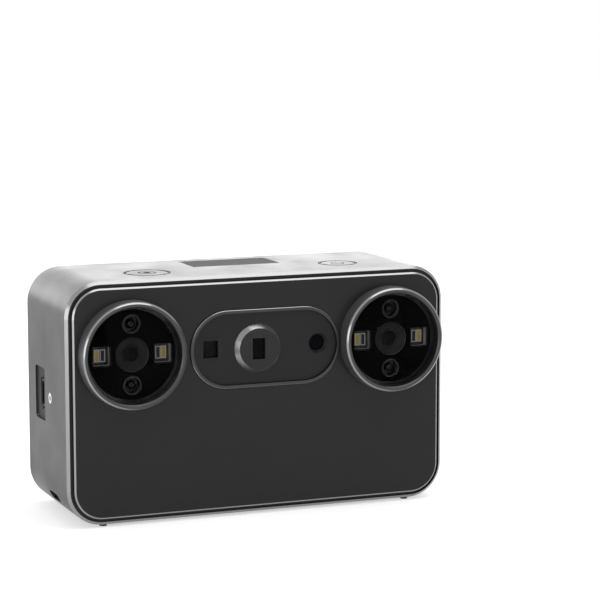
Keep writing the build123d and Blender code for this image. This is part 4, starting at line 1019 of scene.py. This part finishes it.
class SCANNER_OT_left_side(ScannerPiece, Operator):
    """Finish the USB socket, the lock thread and the lanyard bar"""

    bl_idname = "scanner.left_side"
    bl_label = "Left side"

    def execute(self, context):
        paint("usb_socket", self.socket_finish())
        seat = middle("usb_lock_insert")
        insert = metal_finish(
            "Lock thread metal",
            (0.60, 0.60, 0.58),
            (0.22, 0.30),
            turned={"Centre": tuple(seat), "Axis": SIDE_AXIS},
            skirt=(1.8 * MM, grey(0.015), 0.5),
        )
        paint("usb_lock_insert", insert)
        mesh = bmesh.new()
        start = (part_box("usb_lock_insert")[0][0] + 0.35 * MM, seat.y, seat.z)
        thread(mesh, start, SIDE_AXIS, radius=0.81 * MM, depth=0.12 * MM, pitch=0.4 * MM, turns=6, steps=16)
        finish_piece("lock_thread_ridge", mesh, insert, "body")
        bar = metal_finish("Lanyard bar steel", (0.42, 0.42, 0.43), (0.25, 0.32), drawn=DRAWN_DEPTHWISE)
        paint("lanyard_bar", bar)
        return {"FINISHED"}

    def socket_finish(self):
        """Plated shell, painted near black as painted shade inside the slot; the tongue inside is black with
        gilt contacts.
        """
        contact_pitch, soft = 0.5 * MM, 0.02 * MM
        net = Finish("Plated socket", {})
        low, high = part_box("usb_socket")
        seat = middle("usb_socket")
        tongue_half = ((high[0] - low[0]) / 2.0, 0.40 * MM, 3.38 * MM)
        tongue = net.use("Zone", Centre=tuple(seat), Half=tongue_half, Soft=soft)["Inside"]
        pad_centre, pad_half = (low[0] + 3.0 * MM, seat.y, seat.z), (1.4 * MM, 1.0 * MM, 2.9 * MM)
        pads = net.use("Zone", Centre=pad_centre, Half=pad_half, Soft=soft)["Inside"]
        wave = net.calc("SINE", net.calc("MULTIPLY", net.split(net.place())["Z"], FULL_TURN / contact_pitch))
        contacts = net.calc("MULTIPLY", net.calc("GREATER_THAN", wave, 0.15), pads)
        grain = net.use("Fine grain", Grain=3000.0, Patch=300.0)
        # painted shade: the plated shell is painted near black, standing in for shade inside the slot
        shell = net.blend(grain["Patches"], grey(0.055), grey(0.065))
        inner = net.blend(contacts, grey(0.008), (0.72, 0.48, 0.18))
        metal = net.calc("MAXIMUM", net.calc("SUBTRACT", 1.0, tongue), contacts)
        rough = net.slope(grain["Patches"], 0.08, 0.28)
        colour = net.blend(tongue, shell, inner)
        return net.feed({"Base Color": colour, "Metallic": metal, "Roughness": rough}, grain["Height"], 0.05)


class SCANNER_OT_right_side(ScannerPiece, Operator):
    """Finish the switch, the battery door and its latch, and print the switch's marks"""

    bl_idname = "scanner.right_side"
    bl_label = "Right side"

    def execute(self, context):
        look = context.scene.scanner_finishes
        skin = blasted_finish(
            "Painted side panel", bump=0.09, edge=scaled(look.case, 1.8), edge_axis=SIDE_AXIS
        )
        for node in ("switch_panel", "battery_door"):
            paint(node, skin)
        mould("mode_switch_body", "Switch body", 0.010, (0.4, 0.5))
        mould("mode_switch_knob", "Switch knob", 0.018, (0.35, 0.45))
        paint("door_latch", self.latch_finish())
        paint("door_hinge_pin", metal_finish("Hinge pin steel", grey(0.5), drawn=DRAWN_DEPTHWISE))
        self.switch_marks()
        return {"FINISHED"}

    def switch_marks(self):
        """A wireless sign above the switch and a ring below it."""
        face, y, half_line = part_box("switch_panel")[1][0], -3.45 * MM, 0.15 * MM
        sign, ring = Vector((face, y, 64.0 * MM)), Vector((face, y, 52.6 * MM))
        arc_start, arc_sweep = (0.0, 0.7071, 0.7071), math.radians(90.0)
        mesh = bmesh.new()
        disc(mesh, sign, 0.35 * MM, PRINT, SIDE_AXIS, 16)
        for radius in (0.95 * MM, 1.65 * MM, 2.35 * MM):
            inner, outer = radius - half_line, radius + half_line
            band(mesh, sign, inner, outer, PRINT, SIDE_AXIS, arc_start, arc_sweep, 10)
        band(mesh, ring, 1.0 * MM, 1.3 * MM, PRINT, SIDE_AXIS)
        finish_piece("switch_marks", mesh, pale_print(), "body")

    def latch_finish(self):
        """Black slide with a grey thumb block that stands in the door's window."""
        net = Finish("Latch", {SPECULAR: 0.05})
        block = (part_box("door_latch")[1][0], middle("door_latch").y, 0.0)
        inside = net.use("Zone", Centre=block, Half=(0.34 * MM, 6.0 * MM, 1.0))["Inside"]
        grain = net.use("Fine grain", Grain=3600.0, Patch=300.0)
        dark = net.blend(grain["Patches"], grey(0.005), grey(0.007))
        light = net.blend(grain["Patches"], grey(0.12), grey(0.15))
        colour = net.blend(inside, dark, light)
        return net.feed(
            {"Base Color": colour, "Roughness": net.slope(grain["Patches"], 0.1, 0.45)}, grain["Height"], 0.14
        )


class SCANNER_OT_inside(ScannerPiece, Operator):
    """Finish the boards, the bench, the fasteners and the battery"""

    bl_idname = "scanner.inside"
    bl_label = "Inner pieces"

    def execute(self, context):
        for node in ("main_board", "button_board"):
            paint(node, board_finish("Circuit board"))
        milled = metal_finish(
            "Milled aluminium", (0.60, 0.60, 0.61), (0.28, 0.36), drawn=(60.0, 3000.0, 3000.0)
        )
        for node in ("optical_bench", "heat_spreader"):
            paint(node, milled)
        steel = metal_finish("Screw steel", (0.50, 0.50, 0.51), (0.2, 0.3))
        for node in ("bench_screws", "tray_screws", "board_screws", "button_screws"):
            paint(node, steel)
        mould("tact_switches", "Tact switch", 0.05, (0.4, 0.5))
        mould("battery_sleeve", "Battery sleeve", 0.022, (0.5, 0.6))
        paint("battery_contacts", metal_finish("Gilt spring", (0.75, 0.52, 0.22), (0.2, 0.3)))
        gloss = {"Coat Weight": 0.4, "Coat Roughness": 0.15}
        wrap = worked_finish(
            "Battery wrap", (0.018, 0.022, 0.030), (0.30, 0.40), gloss, spread=0.12, bump=0.08, grain=1600.0
        )
        paint("battery_pack", wrap)
        self.battery_marks()
        return {"FINISHED"}

    def battery_marks(self):
        """A minus and a plus on the end of the battery."""
        seat, end = middle("battery_pack"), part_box("battery_pack")[1][0]
        reach, line = 6.0 * MM, 0.6 * MM
        mesh = bmesh.new()
        for way in BOTH_WAYS:
            slab(mesh, (end, seat.y, seat.z + way * reach), (PRINT, 3.0 * MM, line))
            slab(mesh, (end, seat.y, seat.z + reach + way * 0.9 * MM), (PRINT, line, 1.2 * MM))
        finish_piece("battery_marks", mesh, pale_print(), "body")


FLOOR_RADIUS = 3.0
FLOOR_GLOW = 0.55
LAMP_AIM = Vector((0.03, 0.0, 0.04))
LAMPS = {
    "softbox": ((1.2, 0.9), (0.30, -0.10, 1.25)),
    "left_card": ((0.30, 0.24), (-0.55, -0.22, 0.12)),
    "rear_card": ((2.4, 0.5), (0.20, 1.50, 0.33)),
    "front_card": ((2.0, 0.5), (-0.70, -1.55, 0.36)),
}
CAMERA_PLACE = (-0.27085, -0.73702, 0.17774)
CAMERA_DEGREES = (82.057, 0.095, -21.697)


class SCANNER_OT_stage(ScannerPiece, Operator):
    """Set up the floor, the lights and the camera"""

    bl_idname = "scanner.stage"
    bl_label = "Studio"

    def execute(self, context):
        studio = context.scene.scanner_studio
        context.scene.view_settings.view_transform = "Standard"
        self.floor(studio)
        self.sky(context.scene, studio)
        self.lamps(context.scene, studio)
        self.camera(context.scene, studio)
        return {"FINISHED"}

    def shown(self, net):
        """1 for the rays that show the background: seen directly, in a mirror or through glass."""
        path = net.put("ShaderNodeLightPath").outputs
        mirrored = net.calc("MAXIMUM", path["Is Glossy Ray"], path["Is Transmission Ray"])
        return net.calc("MAXIMUM", path["Is Camera Ray"], mirrored)

    def floor(self, studio):
        base = (*grey(studio.floor), 1.0)
        plain = {"Base Color": base, "Roughness": 0.9, SPECULAR: 0.1, "Emission Color": WHITE}
        net = Finish("Studio floor", plain)
        finish = net.feed({"Emission Strength": net.calc("MULTIPLY", self.shown(net), FLOOR_GLOW)})
        mesh = bmesh.new()
        bmesh.ops.create_circle(mesh, cap_ends=True, segments=64, radius=FLOOR_RADIUS)
        floor = add_object("floor", mesh, finish)

    def sky(self, scene, studio):
        """Light walls behind and above the object and a darker one before it, all white where they show."""
        world = scene.world or bpy.data.worlds.new("Studio")
        scene.world = world
        world.use_nodes = True
        net = Network(world.node_tree)
        net.tree.nodes.clear()
        way = net.split(net.place("Generated"))
        behind = net.ramp(way["Y"], -0.35, 0.25, smooth=True)
        above = net.ramp(way["Z"], 0.35, 0.8, smooth=True)
        level = net.calc("MAXIMUM", behind, above)
        lit = net.slope(level, studio.rear_sky - studio.front_sky, studio.front_sky)
        strength = net.calc("MAXIMUM", lit, self.shown(net))
        light = net.put("ShaderNodeBackground", Color=WHITE, Strength=strength)
        net.put("ShaderNodeOutputWorld", Surface=light.outputs[0])

    def lamps(self, scene, studio):
        for name, (size, location) in LAMPS.items():
            data = bpy.data.lights.new(name, "AREA")
            data.shape = "RECTANGLE"
            data.size, data.size_y = size
            data.energy = getattr(studio, name)
            lamp = bpy.data.objects.new(name, data)
            lamp.location = location
            lamp.rotation_euler = (LAMP_AIM - lamp.location).to_track_quat("-Z", "Y").to_euler()
            lamp.visible_camera = False
            scene.collection.objects.link(lamp)

    def camera(self, scene, studio):
        data = bpy.data.cameras.new("camera")
        data.lens = studio.lens
        data.sensor_width = 36.0
        data.clip_start, data.clip_end = 0.01, 50.0
        camera = bpy.data.objects.new("camera", data)
        camera.location = CAMERA_PLACE
        camera.rotation_euler = [math.radians(angle) for angle in CAMERA_DEGREES]
        scene.collection.objects.link(camera)
        scene.camera = camera


# Panel and registration

OPERATORS = (
    SCANNER_OT_case,
    SCANNER_OT_panels,
    SCANNER_OT_cameras,
    SCANNER_OT_projector,
    SCANNER_OT_display,
    SCANNER_OT_top,
    SCANNER_OT_left_side,
    SCANNER_OT_right_side,
    SCANNER_OT_inside,
    SCANNER_OT_stage,
)
GROUPS = {
    "scanner_finishes": ScannerFinishes,
    "scanner_display": ScannerDisplay,
    "scanner_studio": ScannerStudio,
}


class SCANNER_PT_looks(Panel):
    """Lists the scanner's pieces"""

    bl_idname = "SCANNER_PT_looks"
    bl_label = "Scanner looks"
    bl_space_type = "VIEW_3D"
    bl_region_type = "UI"
    bl_category = "Scanner"

    def draw(self, context):
        column = self.layout.column(align=True)
        for piece in OPERATORS:
            column.operator(piece.bl_idname)
        for name, group in GROUPS.items():
            box = self.layout.box()
            for value in group.__annotations__:
                box.prop(getattr(context.scene, name), value)


def register():
    for name, group in GROUPS.items():
        bpy.utils.register_class(group)
        setattr(bpy.types.Scene, name, PointerProperty(type=group))
    for piece in (*OPERATORS, SCANNER_PT_looks):
        bpy.utils.register_class(piece)


def unregister():
    for piece in (SCANNER_PT_looks, *reversed(OPERATORS)):
        bpy.utils.unregister_class(piece)
    for name, group in reversed(GROUPS.items()):
        delattr(bpy.types.Scene, name)
        bpy.utils.unregister_class(group)


def main():
    register()
    bpy.ops.scanner.case()
    bpy.ops.scanner.panels()
    bpy.ops.scanner.cameras()
    bpy.ops.scanner.projector()
    bpy.ops.scanner.display()
    bpy.ops.scanner.top()
    bpy.ops.scanner.left_side()
    bpy.ops.scanner.right_side()
    bpy.ops.scanner.inside()
    bpy.ops.scanner.stage()


if __name__ == "__main__":
    main()
